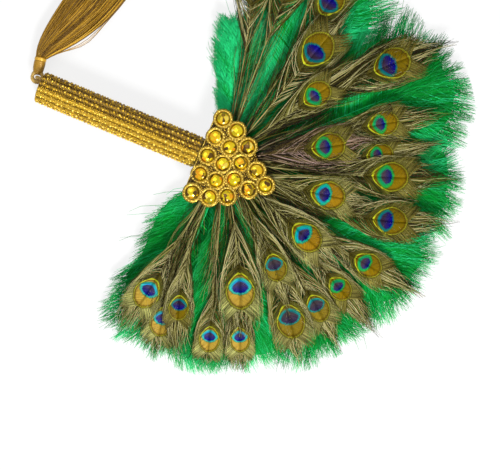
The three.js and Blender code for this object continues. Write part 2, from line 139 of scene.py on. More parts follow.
def angle_property(name, description, degrees):
    return bpy.props.FloatProperty(
        name=name, description=description, default=math.radians(degrees), subtype="ANGLE"
    )


class FanSizes(bpy.types.PropertyGroup):
    """Sizes and counts of the details that the frame leaves open."""

    plume_barbs: count_property("Plume barbs", "Barbs on each green plume", 4300, 200, 6000)
    plume_barb: length_property("Plume barb", "Thickness of a plume's barb at its root", 0.72)
    herl_strands: count_property("Herl strands", "Loose strands along each eye feather's shaft", 135)
    flame_strands: count_property("Tip strands", "Strands beyond each eye", 150)
    collar_strands: count_property("Collar strands", "Strands that sweep round each eye", 70)
    eye_barbs: count_property("Eye barbs", "Barbs that carry each eye", 230)
    herl: length_property("Herl", "Thickness of a herl strand at its root", 0.75)
    bead: length_property("Braid bead", "Diameter of the braid's larger beads", 2.6)
    bead_pitch: length_property("Bead pitch", "Way from bead to bead along the braid", 2.9)
    rim_bead: length_property("Rim bead", "Diameter of the beads round a stone", 2.1)
    threads: count_property("Tassel threads", "Threads in the tassel's skirt", 900, 50, 2000)
    thread: length_property("Thread", "Thickness of a tassel thread", 0.72)
    skirt_length: length_property("Skirt length", "Length of the tassel's skirt", 116)
    skirt_width: length_property("Skirt width", "Width of the skirt at its end", 56)
    skirt_thickness: length_property("Skirt thickness", "Thickness of the skirt at its end", 13)
    skirt_bearing: angle_property(
        "Skirt bearing", "Way that the skirt's end points, from the tips' way towards the right", 286
    )
    skirt_curl: angle_property("Skirt curl", "Angle that the skirt's end has curled back from its bearing", 8)
    skirt_flare: bpy.props.FloatProperty(
        name="Skirt flare", description="Power of the skirt's spread along its length", default=1.25
    )
    seed: bpy.props.IntProperty(name="Seed", description="Start of the scatter", default=7)


class FanColours(bpy.types.PropertyGroup):
    """Colours of the finishes."""

    plume_deep: colour_property("Plume shade", "Deep green of the plumes", srgb(0, 106, 32))
    plume_mid: colour_property("Plume green", "Main green of the plumes", srgb(2, 168, 56))
    plume_light: colour_property("Plume light", "Light green of the plumes", srgb(48, 230, 148))
    plume_mint: colour_property("Plume tips", "Green of the thin tips", srgb(88, 222, 150))
    herl_dark: colour_property("Herl dark", "Darkest herl", srgb(22, 18, 2))
    herl_brown: colour_property("Herl brown", "Main herl", srgb(78, 70, 18))
    herl_olive: colour_property("Herl olive", "Green herl", srgb(116, 114, 40))
    herl_tan: colour_property("Herl tan", "Light herl", srgb(172, 164, 100))
    herl_pale: colour_property("Herl pale", "Palest herl and shafts", srgb(222, 214, 158))
    eye_vane: colour_property("Eye vane", "Vane outside the eye's ring", srgb(104, 104, 36))
    eye_ring: colour_property("Eye ring", "Bright side of the eye's ring", srgb(214, 220, 40))
    gold_light: colour_property("Light gold", "Bright gold of braid and setting", srgb(255, 222, 96))
    gold_mid: colour_property("Gold", "Main gold of braid and setting", srgb(212, 168, 28))
    gold_deep: colour_property("Deep gold", "Gold in the hollows", srgb(96, 64, 8))
    trim_light: colour_property("Light trim", "Bright gold of the setting's beads", srgb(230, 204, 102))
    trim_mid: colour_property("Trim", "Main gold of the setting", srgb(192, 158, 46))
    trim_deep: colour_property("Deep trim", "Gold between the setting's beads", srgb(84, 58, 4))
    thread_light: colour_property("Light thread", "Bright tassel thread", srgb(216, 168, 46))
    thread_mid: colour_property("Thread", "Main tassel thread", srgb(156, 114, 8))
    thread_deep: colour_property("Deep thread", "Dark tassel thread", srgb(90, 60, 2))
    cord_pale: colour_property("Cord", "Loops and binding", srgb(212, 178, 104))
    felt: colour_property("Felt", "Pad behind the quills", srgb(12, 92, 50))
    card: colour_property("Card", "Board under the quills", srgb(136, 120, 90))
    wood: colour_property("Wood", "Core of the handle", srgb(182, 140, 92))


def sizes():
    return bpy.context.scene.feather_fan_sizes


def colours():
    return bpy.context.scene.feather_fan_colours


def scatter_of(step):
    """Random numbers for one piece, the same on every run."""
    return np.random.default_rng(1000 * sizes().seed + step)


class Part:
    """Points in millimetres, faces of four and three corners, and a place on the finish's chart for each point."""

    def __init__(self, points, quads, tris, chart):
        self.points = np.asarray(points, float).reshape(-1, 3)
        self.quads = np.asarray(quads, int).reshape(-1, 4)
        self.tris = np.asarray(tris, int).reshape(-1, 3)
        self.chart = np.asarray(chart, float).reshape(-1, 2)


def make_piece(name, parts, finish, body, nodes):
    """One object from parts, with its place in its mesh, riding on a body and standing for its nodes."""
    starts = np.cumsum([0] + [len(part.points) for part in parts])[:-1]
    points = np.concatenate([part.points for part in parts]) * MM
    chart = np.clip(np.concatenate([part.chart for part in parts]), 0.001, 0.999)
    quads = np.concatenate([part.quads + start for part, start in zip(parts, starts)])
    tris = np.concatenate([part.tris + start for part, start in zip(parts, starts)])
    corners = np.concatenate([quads.ravel(), tris.ravel()]).astype(np.int32)
    totals = np.repeat([4, 3], [len(quads), len(tris)])
    mesh = bpy.data.meshes.new(name)
    mesh.vertices.add(len(points))
    mesh.vertices.foreach_set("co", points.astype(np.float32).ravel())
    mesh.loops.add(len(corners))
    mesh.loops.foreach_set("vertex_index", corners)
    mesh.polygons.add(len(totals))
    mesh.polygons.foreach_set("loop_start", (np.cumsum(totals) - totals).astype(np.int32))
    mesh.polygons.foreach_set("use_smooth", np.full(len(totals), True))
    mesh.update(calc_edges=True)
    layer = mesh.uv_layers.new(name=CHART)
    layer.data.foreach_set("uv", chart[corners].astype(np.float32).ravel())
    if mesh.validate():
        raise RuntimeError(f"the mesh of {name} had faults")
    mesh.materials.append(finish)
    made = bpy.data.objects.new(name, mesh)
    bpy.context.scene.collection.objects.link(made)
    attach(made, body)
    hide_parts(*nodes)


def dress_node(name, finish):
    """Gives a node of the frame that stays in sight its finish."""
    mesh = NODES[name].data
    mesh.materials.clear()
    mesh.materials.append(finish)


def box_of(name):
    """Low and high corner of a node's box, in millimetres."""
    return np.array(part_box(name)) / MM


# Shapes


def unit(vectors):
    return vectors / np.linalg.norm(vectors, axis=-1, keepdims=True)


def round_steps(count):
    """Angles of even steps round a circle."""
    return 2 * np.pi * np.arange(count) / count


def compass(angle):
    """Level way of length 1 at each angle, as x and y."""
    return np.stack([np.cos(angle), np.sin(angle)], -1)


def stacked(*parts):
    """Arrays spread to the shape that they share and put side by side as its last axis."""
    return np.stack(np.broadcast_arrays(*parts), -1)


def both_sides(count):
    """Right and left in turn, as -1 and 1."""
    return np.where(np.arange(count) % 2, 1.0, -1.0)


def strands(path, radius, tone, sides=3):
    """Closed tapered tubes, all at once. Point j of a ring stands at radius from its path at the angle
    2 pi j / sides, from the level side of the path towards its top. path is strands by rings by 3, and tone is
    one number for each strand or a place on the chart for each ring."""
    count, rings = path.shape[:2]
    way = unit(np.gradient(path, axis=1))
    side = unit(np.cross(way, (0.0, 0.0, 1.0)))
    top = np.cross(side, way)
    angle = round_steps(sides)[:, None]
    reach = side[:, :, None] * np.cos(angle) + top[:, :, None] * np.sin(angle)
    points = path[:, :, None] + reach * np.broadcast_to(radius, (count, rings))[:, :, None, None]
    index = np.arange(count * rings * sides).reshape(count, rings, sides)
    here, ahead = index[:, :-1], index[:, 1:]
    quads = np.stack([here, ahead, np.roll(ahead, -1, 2), np.roll(here, -1, 2)], -1)
    first, last = index[:, 0], index[:, -1]
    caps = [first[:, [0, k, k + 1]] for k in range(1, sides - 1)]
    caps += [last[:, [0, k + 1, k]] for k in range(1, sides - 1)]
    if np.ndim(tone) < 3:
        tone = stacked(np.reshape(tone, (-1, 1)), np.linspace(0, 1, rings))
    chart = tone[:, :, None] + np.outer(np.arange(sides) - 1, (0.012, 0.0))
    return Part(points, quads, np.concatenate(caps), np.broadcast_to(chart, (count, rings, sides, 2)))


def loft(rings, chart, joined=False):
    """Closed skin through rings of points that run anticlockwise about the way ahead. Each end closes on the
    middle of its ring, or the last ring meets the first."""
    count, sides = rings.shape[:2]
    index = np.arange(count * sides).reshape(count, sides)
    ahead = np.roll(index, -1, 0) if joined else index[1:]
    here = index if joined else index[:-1]
    quads = np.stack([here, np.roll(here, -1, 1), np.roll(ahead, -1, 1), ahead], -1)
    if joined:
        return Part(rings, quads, [], chart)
    ends = np.stack([rings[0].mean(0), rings[-1].mean(0)])
    middle = count * sides
    first = np.stack([np.full(sides, middle), np.roll(index[0], -1), index[0]], -1)
    last = np.stack([np.full(sides, middle + 1), index[-1], np.roll(index[-1], -1)], -1)
    charts = np.concatenate([chart.reshape(-1, 2), [chart[0].mean(0), chart[-1].mean(0)]])
    return Part(np.concatenate([rings.reshape(-1, 3), ends]), quads, np.concatenate([first, last]), charts)


def ball(sides=6, levels=3):
    """Unit ball: level k lies at the angle pi k / (levels + 1) from the top, between two poles."""
    down = np.pi * np.arange(1, levels + 1)[:, None] / (levels + 1)
    turn = round_steps(sides)
    rings = stacked(np.sin(down) * np.cos(turn), np.sin(down) * np.sin(turn), np.cos(down))
    part = loft(rings[::-1], np.zeros((levels, sides, 2)))
    part.points[-2:] = [[0, 0, -1], [0, 0, 1]]
    return part


def beads(shape, centres, radius, tone):
    """Copies of one low ball, with the chart running across by tone and along by height, so that each bead's
    underside takes painted shade.
    """
    count, size = len(centres), len(shape.points)
    radius = np.broadcast_to(radius, (count,))
    points = centres[:, None] + shape.points * radius[:, None, None]
    shift = (size * np.arange(count))[:, None, None]
    across = np.broadcast_to(tone, (count,))[:, None] + 0.03 * shape.points[:, 0]
    chart = stacked(across, 0.5 + 0.5 * shape.points[:, 2])
    return Part(points, shape.quads + shift, shape.tris + shift, chart)


def cord(path, sideways, radius, strand_count, turns, tone, joined=False):
    """Twisted cord along a path. At the angle a and the share t of the way, its radius is
    radius (1 + 0.16 cos(strand_count (a - turns 2 pi t)))."""
    rings, sides = len(path), 6 * strand_count
    way = (np.roll(path, -1, 0) - np.roll(path, 1, 0)) if joined else np.gradient(path, axis=0)
    way = unit(way)
    other = np.cross(way, sideways)
    angle = round_steps(sides)
    share = (np.arange(rings) / (rings if joined else rings - 1))[:, None]
    ripple = np.cos(strand_count * (angle - 2 * np.pi * turns * share))
    reach = radius * (1 + 0.16 * ripple)[..., None]
    across = np.asarray(sideways)[None, None] * np.cos(angle)[:, None]
    points = path[:, None] + reach * (across + other[:, None] * np.sin(angle)[:, None])
    # The chart follows the ripple: painted shade in the grooves between the strands and a paler tone on their crests
    # as a painted highlight
    chart = np.stack([tone + 0.2 * ripple, 0.5 + 0.4 * ripple], -1)
    return loft(points, chart, joined)


# Lines of the feathers, read from the frame


def node_points(name):
    """Corners of a node in millimetres, each once."""
    mesh = NODES[name].data
    places = np.empty(3 * len(mesh.vertices), np.float32)
    mesh.vertices.foreach_get("co", places)
    return np.unique(np.round(places.reshape(-1, 3) / MM, 2), axis=0)


def through(knots, values, at):
    """Cubic curve through values at knots, with each knot's slope taken from its neighbours."""
    slope = np.gradient(values, knots, axis=0)
    k = np.clip(np.searchsorted(knots, at) - 1, 0, len(knots) - 2)
    step = (knots[k + 1] - knots[k])[:, None]
    t = (at - knots[k])[:, None] / step
    rise = values[k + 1] - values[k]
    bend = step * (slope[k] * (1 - t) - slope[k + 1] * t) - rise * (1 - 2 * t)
    return values[k] + t * rise + t * (1 - t) * bend


class Line:
    """Middle line of a feather: its plan as a curve by the way from the root, and its height by radius."""

    def __init__(self, middle, half):
        step = np.linalg.norm(np.diff(middle[:, :2], axis=0), axis=1)
        knots = np.concatenate([[0], np.cumsum(step)])
        self.length = knots[-1]
        self.bearing = math.degrees(math.atan2(*middle[-1, :2]))
        self.knots, self.half = knots, half
        self.at = np.linspace(0, self.length, 120)
        self.plan = through(knots, middle[:, :2], self.at)
        self.heading = unit(np.gradient(self.plan, axis=0))
        order = np.argsort(np.hypot(*middle[:, :2].T))
        self.radii, self.heights = np.hypot(*middle[order, :2].T), middle[order, 2]

    def place(self, along, aside, rise):
        """Points at a way along the line, a way to its left and a rise above the feather's own height."""
        beyond = np.clip(along - self.length, 0, None)
        x, y = (np.interp(along, self.at, self.plan[:, k]) for k in (0, 1))
        hx, hy = (np.interp(along, self.at, self.heading[:, k]) for k in (0, 1))
        x, y = x + hx * beyond - hy * aside, y + hy * beyond + hx * aside
        z = np.interp(np.hypot(x, y), self.radii, self.heights) + rise
        return stacked(x, y, z)

    def half_width(self, along):
        return np.interp(along, self.knots, self.half)


def eye_line(name):
    """Line of an eye feather: the ridge points above and under each other are its middle, and the points
    whose middle is a ridge point are its sides."""
    p = node_points(name)
    level = np.linalg.norm(p[:, None, :2] - p[None, :, :2], axis=2)
    low, high = np.nonzero((level < 0.06) & (p[None, :, 2] - p[:, None, 2] > 0.5))
    middle = (p[low] + p[high]) / 2
    middle = middle[np.argsort(np.linalg.norm(middle[:, :2], axis=1))]
    sides = np.delete(p, np.unique(np.concatenate([low, high])), axis=0)
    mean = (sides[:, None, :2] + sides[None, :, :2]) / 2
    span = sides[:, None, :2] - sides[None, :, :2]
    heading = unit(np.gradient(middle[:, :2], axis=0))
    match = np.linalg.norm(mean[None] - middle[:, None, None, :2], axis=3) < 0.05
    match &= np.abs(np.einsum("ijk,lk->lij", span, heading)) < 0.2 * np.linalg.norm(span, axis=2)
    half = np.where(match, np.linalg.norm(span, axis=2), 0).max((1, 2)) / 2
    return Line(middle, half)


def plume_line(name):
    """Line of a plume: a straight one through the middle of its corners, which stand even on both sides."""
    p = node_points(name)
    heading = unit(p[:, :2].mean(0))
    along = np.round(p[:, :2] @ heading, 1)
    aside = p[:, :2] @ np.array([-heading[1], heading[0]])
    stations = np.array([s for s in np.unique(along) if (np.abs(aside[along == s]) < 0.1).any()])
    ridge = [p[(along == s) & (np.abs(aside) < 0.1), 2].mean() for s in stations]
    half = np.array([aside[along == s].max() for s in stations])
    return Line(np.column_stack([stations[:, None] * heading, ridge]), half)


def bowed(start, control, tip, rings):
    """Curves in the plan of a feather: (1-t)^2 start + 2t(1-t) control + t^2 tip, for all strands at once."""
    t = np.linspace(0, 1, rings)[None, :, None]
    return (1 - t) ** 2 * start[:, None] + 2 * t * (1 - t) * control[:, None] + t**2 * tip[:, None]


def lay_barbs(line, plan, rise, wave, phase):
    """Puts plan curves on a feather, with a slight wave aside that grows along each strand from its own phase."""
    t = np.linspace(0, 1, plan.shape[1])[None]
    aside = plan[..., 1] + wave * t * np.sin(2 * np.pi * 1.3 * t + phase[:, None])
    return line.place(plan[..., 0], aside, rise)


def taper(root, tip, rings, power=1.0):
    return root + (tip - root) * np.linspace(0, 1, rings)[None] ** power


# Finishes


def add(tree, kind, inputs=(), **settings):
    """New node with its settings, its inputs linked or set."""
    made = tree.nodes.new(kind)
    for key, value in settings.items():
        setattr(made, key, value)
    for key, value in dict(inputs).items():
        if isinstance(value, bpy.types.NodeSocket):
            tree.links.new(value, made.inputs[key])
        else:
            made.inputs[key].default_value = value
    return made


def reckon(tree, operation, first, second=0.0):
    return add(tree, "ShaderNodeMath", {0: first, 1: second}, operation=operation).outputs[0]


def ramp(tree, factor, stops):
    """Colour ramp through stops of place and colour."""
    made = add(tree, "ShaderNodeValToRGB", {"Fac": factor})
    while len(made.color_ramp.elements) < len(stops):
        made.color_ramp.elements.new(0.5)
    for element, (place, colour) in zip(made.color_ramp.elements, stops):
        element.position = place
        element.color = (*colour, 1)
    return made.outputs["Color"]


def mix(tree, factor, first, second, blend="MIX"):
    made = tree.nodes.new("ShaderNodeMix")
    made.data_type, made.blend_type = "RGBA", blend
    for key, value in ((0, factor), (6, first), (7, second)):
        if isinstance(value, bpy.types.NodeSocket):
            tree.links.new(value, made.inputs[key])
        else:
            made.inputs[key].default_value = value
    return made.outputs[2]


def grey(value):
    return (value, value, value)


def finish_of(name, sockets):
    finish = bpy.data.materials.new(name)
    finish.use_nodes = True
    shader = finish.node_tree.nodes["Principled BSDF"]
    for key, value in sockets.items():
        shader.inputs[key].default_value = value
    return finish, finish.node_tree, shader


def chart_place(tree):
    """Place on the piece's chart, as a node with its two parts."""
    return add(tree, "ShaderNodeSeparateXYZ", {0: add(tree, "ShaderNodeUVMap", uv_map=CHART).outputs["UV"]})


def chart_finish(name, across, along, sockets):
    """Finish whose colour is a ramp across its chart, times a ramp along it."""
    finish, tree, shader = finish_of(name, sockets)
    place = chart_place(tree)
    tone = ramp(tree, place.outputs[0], across)
    shade = ramp(tree, place.outputs[1], along)
    tree.links.new(mix(tree, 1.0, tone, shade, "MULTIPLY"), shader.inputs["Base Color"])
    return finish


def grain_finish(name, light, share, scale, stretch, depth, rough):
    """Finish with a grain of a light tone and a share of it, and a bump of the same grain, on the piece's own
    coordinates."""
    dark = tuple(share * part for part in light)
    finish, tree, shader = finish_of(name, {"Roughness": rough})
    place = add(tree, "ShaderNodeTexCoord").outputs["Object"]
    place = add(tree, "ShaderNodeMapping", {"Vector": place, "Scale": stretch}).outputs[0]
    grain = add(tree, "ShaderNodeTexNoise", {"Vector": place, "Scale": scale, "Detail": 6.0}).outputs["Fac"]
    tree.links.new(ramp(tree, grain, [(0.3, dark), (0.7, light)]), shader.inputs["Base Color"])
    bump = add(tree, "ShaderNodeBump", {"Height": grain, "Strength": 0.5, "Distance": depth})
    tree.links.new(bump.outputs[0], shader.inputs["Normal"])
    return finish


def plume_finish():
    c = colours()
    across = [(0.0, c.plume_deep), (0.5, c.plume_mid), (1.0, c.plume_light)]
    finish, tree, shader = finish_of("plume_green", {"Roughness": 0.8, "Specular IOR Level": 0.1})
    place = chart_place(tree)
    shade = ramp(tree, place.outputs[1], [(0.0, grey(0.7)), (0.35, grey(1.0))])
    colour = mix(tree, 1.0, ramp(tree, place.outputs[0], across), shade, "MULTIPLY")
    thin = ramp(tree, place.outputs[1], [(0.7, grey(0.0)), (1.0, grey(0.24))])
    tree.links.new(mix(tree, thin, colour, (*c.plume_mint, 1)), shader.inputs["Base Color"])
    return finish


def herl_finish(name, sheen):
    """Herl in its tones from dark to pale, times the sheen."""
    c = colours()
    tones = (c.herl_dark, c.herl_brown, c.herl_olive, c.herl_tan, c.herl_pale)
    tones = np.clip(np.array([list(tone) for tone in tones]) * sheen, 0, 1)
    across = list(zip((0.0, 0.3, 0.55, 0.76, 1.0), map(tuple, tones)))
    along = [(0.0, grey(0.8)), (0.4, grey(1.0)), (1.0, grey(0.62))]
    return chart_finish(name, across, along, {"Roughness": 0.5, "Specular IOR Level": 0.14})


def gold_finish(name, tones, rough, metal):
    across = list(zip((0.0, 0.45, 1.0), tones))
    # The ramp along the chart is painted shade, darkest where a piece puts its hollows and undersides low on it
    along = [(0.0, grey(0.1)), (0.5, grey(0.8)), (1.0, grey(1.0))]
    return chart_finish(name, across, along, {"Roughness": rough, "Metallic": metal})


def thread_finish():
    c = colours()
    across = [(0.0, c.thread_deep), (0.5, c.thread_mid), (1.0, c.thread_light)]
    along = [(0.0, grey(0.8)), (0.2, grey(1.0)), (1.0, grey(1.0))]
    return chart_finish("tassel_thread", across, along, {"Roughness": 0.38, "Metallic": 0.25})


def cord_finish():
    c = colours()
    across = [(0.0, c.thread_light), (1.0, c.cord_pale)]
    along = [(0.0, grey(0.5)), (1.0, grey(1.0))]
    return chart_finish("loop_cord", across, along, {"Roughness": 0.6})


def stone_finish():
    """Foil under a clear dome in cells: the lemon and amber cells are the foil's colour, and the dark and pale cells
    are painted shade and painted highlights standing in for facet reflections.
    """
    finish, tree, shader = finish_of(
        "stone_gold", {"Roughness": 0.14, "Metallic": 0.75, "Coat Weight": 0.16, "Coat Roughness": 0.04}
    )
    place = add(tree, "ShaderNodeTexCoord").outputs["Object"]
    drift = add(tree, "ShaderNodeTexNoise", {"Vector": place, "Scale": 260.0, "Detail": 2.0}).outputs["Color"]
    place = mix(tree, 0.0022, place, drift, "ADD")
    cell = add(tree, "ShaderNodeTexVoronoi", {"Vector": place, "Scale": 230.0}, feature="SMOOTH_F1")
    cell.inputs["Smoothness"].default_value = 0.18
    pick = add(tree, "ShaderNodeSeparateXYZ", {0: cell.outputs["Color"]}).outputs[0]
    stops = [
        (0.1, srgb(84, 56, 4)),
        (0.22, srgb(136, 106, 4)),
        (0.34, srgb(190, 168, 4)),
        (0.56, srgb(222, 200, 14)),
        (0.7, srgb(222, 172, 10)),
        (0.77, srgb(230, 146, 12)),
        (0.83, srgb(222, 190, 20)),
        (0.95, srgb(240, 222, 120)),
    ]
    tree.links.new(ramp(tree, pick, stops), shader.inputs["Base Color"])
    return finish


def oval(tree, across, along, centre, wide, long):
    """Distance from an egg's middle, 1 on the egg: the root of (across/w)^2 + ((along-centre)/long)^2, where w is
    wide, and falls to 0.68 wide at the end that is nearer the root."""
    shifted = reckon(tree, "DIVIDE", reckon(tree, "SUBTRACT", along, centre), long)
    narrow = reckon(tree, "MULTIPLY", reckon(tree, "MINIMUM", shifted, 0.0), 0.32)
    width = reckon(tree, "MULTIPLY", reckon(tree, "MAXIMUM", reckon(tree, "ADD", narrow, 1.0), 0.2), wide)
    a = reckon(tree, "POWER", reckon(tree, "ABSOLUTE", reckon(tree, "DIVIDE", across, width)), 2.0)
    b = reckon(tree, "POWER", reckon(tree, "ABSOLUTE", shifted), 2.0)
    return reckon(tree, "SQRT", reckon(tree, "ADD", a, b))


# The chart of an eye's vane: the way across and along, in lengths of the eye, from its core
VANE_ACROSS = 1.6
VANE_BEHIND = 1.1
VANE_ALONG = 2.4

# Looks of the eyes: the core's rim, its colour next to the pupil, the pupil's outer and inner end, the bronze
# oval, the barbs beyond the ring, and the pupil's half width and half length in lengths of the eye
EYE_LOOKS = {
    "blue": (
        *(srgb(0, 130, 112), srgb(0, 84, 140), srgb(2, 2, 130), srgb(58, 40, 64)),
        *(srgb(130, 108, 2), srgb(124, 116, 50), 0.27, 0.195),
    ),
    "violet": (
        *(srgb(0, 160, 150), srgb(30, 84, 104), srgb(56, 48, 84), srgb(80, 66, 72)),
        *(srgb(150, 128, 30), srgb(156, 152, 86), 0.27, 0.19),
    ),
    "green": (
        *(srgb(40, 176, 60), srgb(0, 150, 110), srgb(0, 26, 120), srgb(84, 64, 72)),
        *(srgb(146, 118, 4), srgb(138, 130, 60), 0.22, 0.165),
    ),
    "cyan": (
        *(srgb(20, 196, 140), srgb(0, 150, 206), srgb(8, 14, 128), srgb(76, 58, 80)),
        *(srgb(172, 132, 18), srgb(162, 156, 88), 0.22, 0.165),
    ),
    "pale": (
        *(srgb(60, 200, 160), srgb(0, 142, 214), srgb(6, 22, 140), srgb(74, 60, 96)),
        *(srgb(194, 162, 60), srgb(180, 180, 106), 0.24, 0.175),
    ),
}
# The look of each eye feather, in the order of the nodes
EYES = (
    ["blue", "blue", "green", "green", "pale", "pale", "blue", "blue", "green", "green", "violet", "pale"]
    + ["blue", "green", "blue", "violet", "pale", "green", "cyan", "violet", "blue", "green", "cyan", "pale"]
)
# Eye feathers whose brush runs on past the solid's tip or stops short of it, with the solid's tip as 1
BRUSHES = {3: 1.35, 4: 1.25, 5: 0.55, 6: 0.75, 8: 1.4, 9: 1.4, 10: 1.3, 12: 0.72, 14: 1.35, 15: 1.35, 18: 1.9}
# Eye feathers with more loose herl than the others, and the one whose herl has a mauve sheen
BUSHY = (8, 14)
MAUVE = 22


def eye_finish(name, look):
    """Barbs with their eye: eggs one in the other, about a ring centre and about the core."""
    c = colours()
    rim, near, outer_end, inner_end, gold, halo, wide, long = look
    finish, tree, shader = finish_of(name, {"Roughness": 0.45, "Specular IOR Level": 0.1})
    place = chart_place(tree)
    across = reckon(tree, "MULTIPLY", reckon(tree, "SUBTRACT", place.outputs[0], 0.5), VANE_ACROSS)
    along = reckon(tree, "SUBTRACT", reckon(tree, "MULTIPLY", place.outputs[1], VANE_ALONG), VANE_BEHIND)
    slant = reckon(tree, "SUBTRACT", along, reckon(tree, "ABSOLUTE", across))
    lines = add(tree, "ShaderNodeCombineXYZ", {0: reckon(tree, "MULTIPLY", slant, 30.0), 1: across}).outputs[0]
    fine = add(tree, "ShaderNodeTexNoise", {"Vector": lines, "Scale": 1.0, "Detail": 3.0}).outputs["Fac"]

    ring = oval(tree, across, along, 0.13, 0.43, 0.53)
    bronze = ramp(
        tree,
        reckon(tree, "MULTIPLY", ring, 0.5),
        [
            (0.0, gold),
            (0.36, gold),
            (0.42, srgb(92, 66, 2)),
            (0.45, srgb(146, 142, 40)),
            (0.475, srgb(80, 70, 20)),
        ],
    )
    shifted = reckon(tree, "MULTIPLY", reckon(tree, "ADD", along, 1.0), 0.45)
    band = ramp(tree, ring, [(0.85, grey(0.0)), (0.885, grey(1.0)), (0.92, grey(1.0)), (0.95, grey(0.0))])
    bright = mix(tree, 1.0, band, ramp(tree, shifted, [(0.3, grey(1.0)), (0.6, grey(0.2))]), "MULTIPLY")
    bronze = mix(tree, bright, bronze, (*c.eye_ring, 1))
    stops = [(0.2, c.herl_brown), (0.45, c.eye_vane), (0.72, halo), (0.92, c.herl_brown)]
    beyond = ramp(tree, ring, [(0.97, grey(0.0)), (1.03, grey(1.0))])
    outside = mix(tree, beyond, bronze, ramp(tree, shifted, stops))

    core = oval(tree, across, along, 0.0, 0.34, 0.255)
    teal = ramp(tree, core, [(0.55, near), (0.85, rim), (0.97, srgb(70, 96, 30))])
    inside = ramp(tree, core, [(0.95, grey(1.0)), (1.02, grey(0.0))])
    pupil = oval(tree, across, along, 0.03, wide, long)
    depth = reckon(tree, "MULTIPLY", reckon(tree, "ADD", along, 0.14), 3.2)
    heart = ramp(tree, depth, [(0.3, inner_end), (0.9, outer_end)])
    dark = ramp(tree, pupil, [(0.86, grey(1.0)), (1.0, grey(0.0))])
    colour = mix(tree, inside, outside, mix(tree, dark, teal, heart))
    even = ramp(tree, fine, [(0.3, grey(0.8)), (0.55, grey(1.0)), (0.75, grey(1.1))])
    rough = ramp(tree, fine, [(0.34, grey(0.15)), (0.5, grey(0.8)), (0.66, grey(1.7))])
    streak = mix(tree, beyond, even, rough)
    tree.links.new(mix(tree, 1.0, colour, streak, "MULTIPLY"), shader.inputs["Base Color"])
    return finish


# Operators


def lean_over(points, centre, number):
    """Leans a stone or its cup by its own few degrees: each point rises by the slope times its way from the
    centre."""
    slope = scatter_of(LEAN_SCATTER + number).normal(0, 0.11, 2)
    points[:, 2] += (points[:, :2] - centre[:2]) @ slope


class FAN_OT_stage(bpy.types.Operator):
    """Floor, light and the camera at the photograph's angle"""

    bl_idname = "feather_fan.stage"
    bl_label = "Stage"

    def execute(self, context):
        scene = context.scene
        scene.view_settings.view_transform = "Standard"
        self.floor(scene)
        self.world(scene)
        middle = np.array(VIEW_CENTRE) * MM
        right = np.array(VIEW_RIGHT) / np.linalg.norm(VIEW_RIGHT)
        up = np.cross((0.0, 0.0, 1.0), right)
        for name, (rightward, upward, height, size, watts) in LAMPS.items():
            place = middle + upward * up + rightward * right + [0, 0, height]
            self.lamp(scene, name, place, middle, size, watts)
        lens = bpy.data.cameras.new("camera")
        lens.lens, lens.sensor_width = 85, 36
        lens.clip_start, lens.clip_end = 0.05, 20
        camera = bpy.data.objects.new("camera", lens)
        scene.collection.objects.link(camera)
        back = VIEW_WIDTH * MM * lens.lens / lens.sensor_width
        turn = np.eye(4)
        turn[:3, 0], turn[:3, 1], turn[:3, 3] = right, up, middle + [0, 0, back]
        camera.matrix_world = Matrix(turn.tolist())
        scene.camera = camera
        return {"FINISHED"}

    def floor(self, scene):
        finish = bpy.data.materials.new("pale_floor")
        finish.use_nodes = True
        tree = finish.node_tree
        tree.nodes.clear()
        matt = add(tree, "ShaderNodeBsdfDiffuse", {"Color": (0.9, 0.9, 0.9, 1)}).outputs[0]
        glow = add(tree, "ShaderNodeEmission", {"Color": (1, 1, 1, 1), "Strength": 1.0}).outputs[0]
        seen = self.seen(tree)
        share = reckon(tree, "MULTIPLY", seen, 0.8)
        both = add(tree, "ShaderNodeMixShader", {0: share, 1: matt, 2: glow}).outputs[0]
        add(tree, "ShaderNodeOutputMaterial", {"Surface": both})
        reach, height = 3.0, CAD_BOX[0][2]
        mesh = bpy.data.meshes.new("floor")
        square = [(-reach, -reach), (reach, -reach), (reach, reach), (-reach, reach)]
        mesh.from_pydata([(x, y, height) for x, y in square], [], [(0, 1, 2, 3)])
        mesh.materials.append(finish)
        floor = bpy.data.objects.new("floor", mesh)
        scene.collection.objects.link(floor)

    def seen(self, tree):
        path = add(tree, "ShaderNodeLightPath")
        glossy = reckon(tree, "ADD", path.outputs["Is Camera Ray"], path.outputs["Is Glossy Ray"])
        return reckon(tree, "MINIMUM", reckon(tree, "ADD", glossy, path.outputs["Is Transmission Ray"]), 1.0)

    def world(self, scene):
        world = bpy.data.worlds.new("studio")
        world.use_nodes = True
        tree = world.node_tree
        tree.nodes.clear()
        soft = add(tree, "ShaderNodeBackground", {"Color": (1, 1, 1, 1), "Strength": 0.25}).outputs[0]
        white = add(tree, "ShaderNodeBackground", {"Color": (1, 1, 1, 1), "Strength": 1.0}).outputs[0]
        both = add(tree, "ShaderNodeMixShader", {0: self.seen(tree), 1: soft, 2: white}).outputs[0]
        add(tree, "ShaderNodeOutputWorld", {"Surface": both})
        scene.world = world

    def lamp(self, scene, name, place, target, size, watts):
        light = bpy.data.lights.new(name, "AREA")
        light.size, light.energy = size, watts
        lamp = bpy.data.objects.new(name, light)
        scene.collection.objects.link(lamp)
        back = unit(np.array(place) - np.array(target))
        side = unit(np.cross((0.0, 0.0, 1.0), back))
        turn = np.eye(4)
        turn[:3, 0], turn[:3, 1], turn[:3, 2], turn[:3, 3] = side, np.cross(back, side), back, place
        lamp.matrix_world = Matrix(turn.tolist())


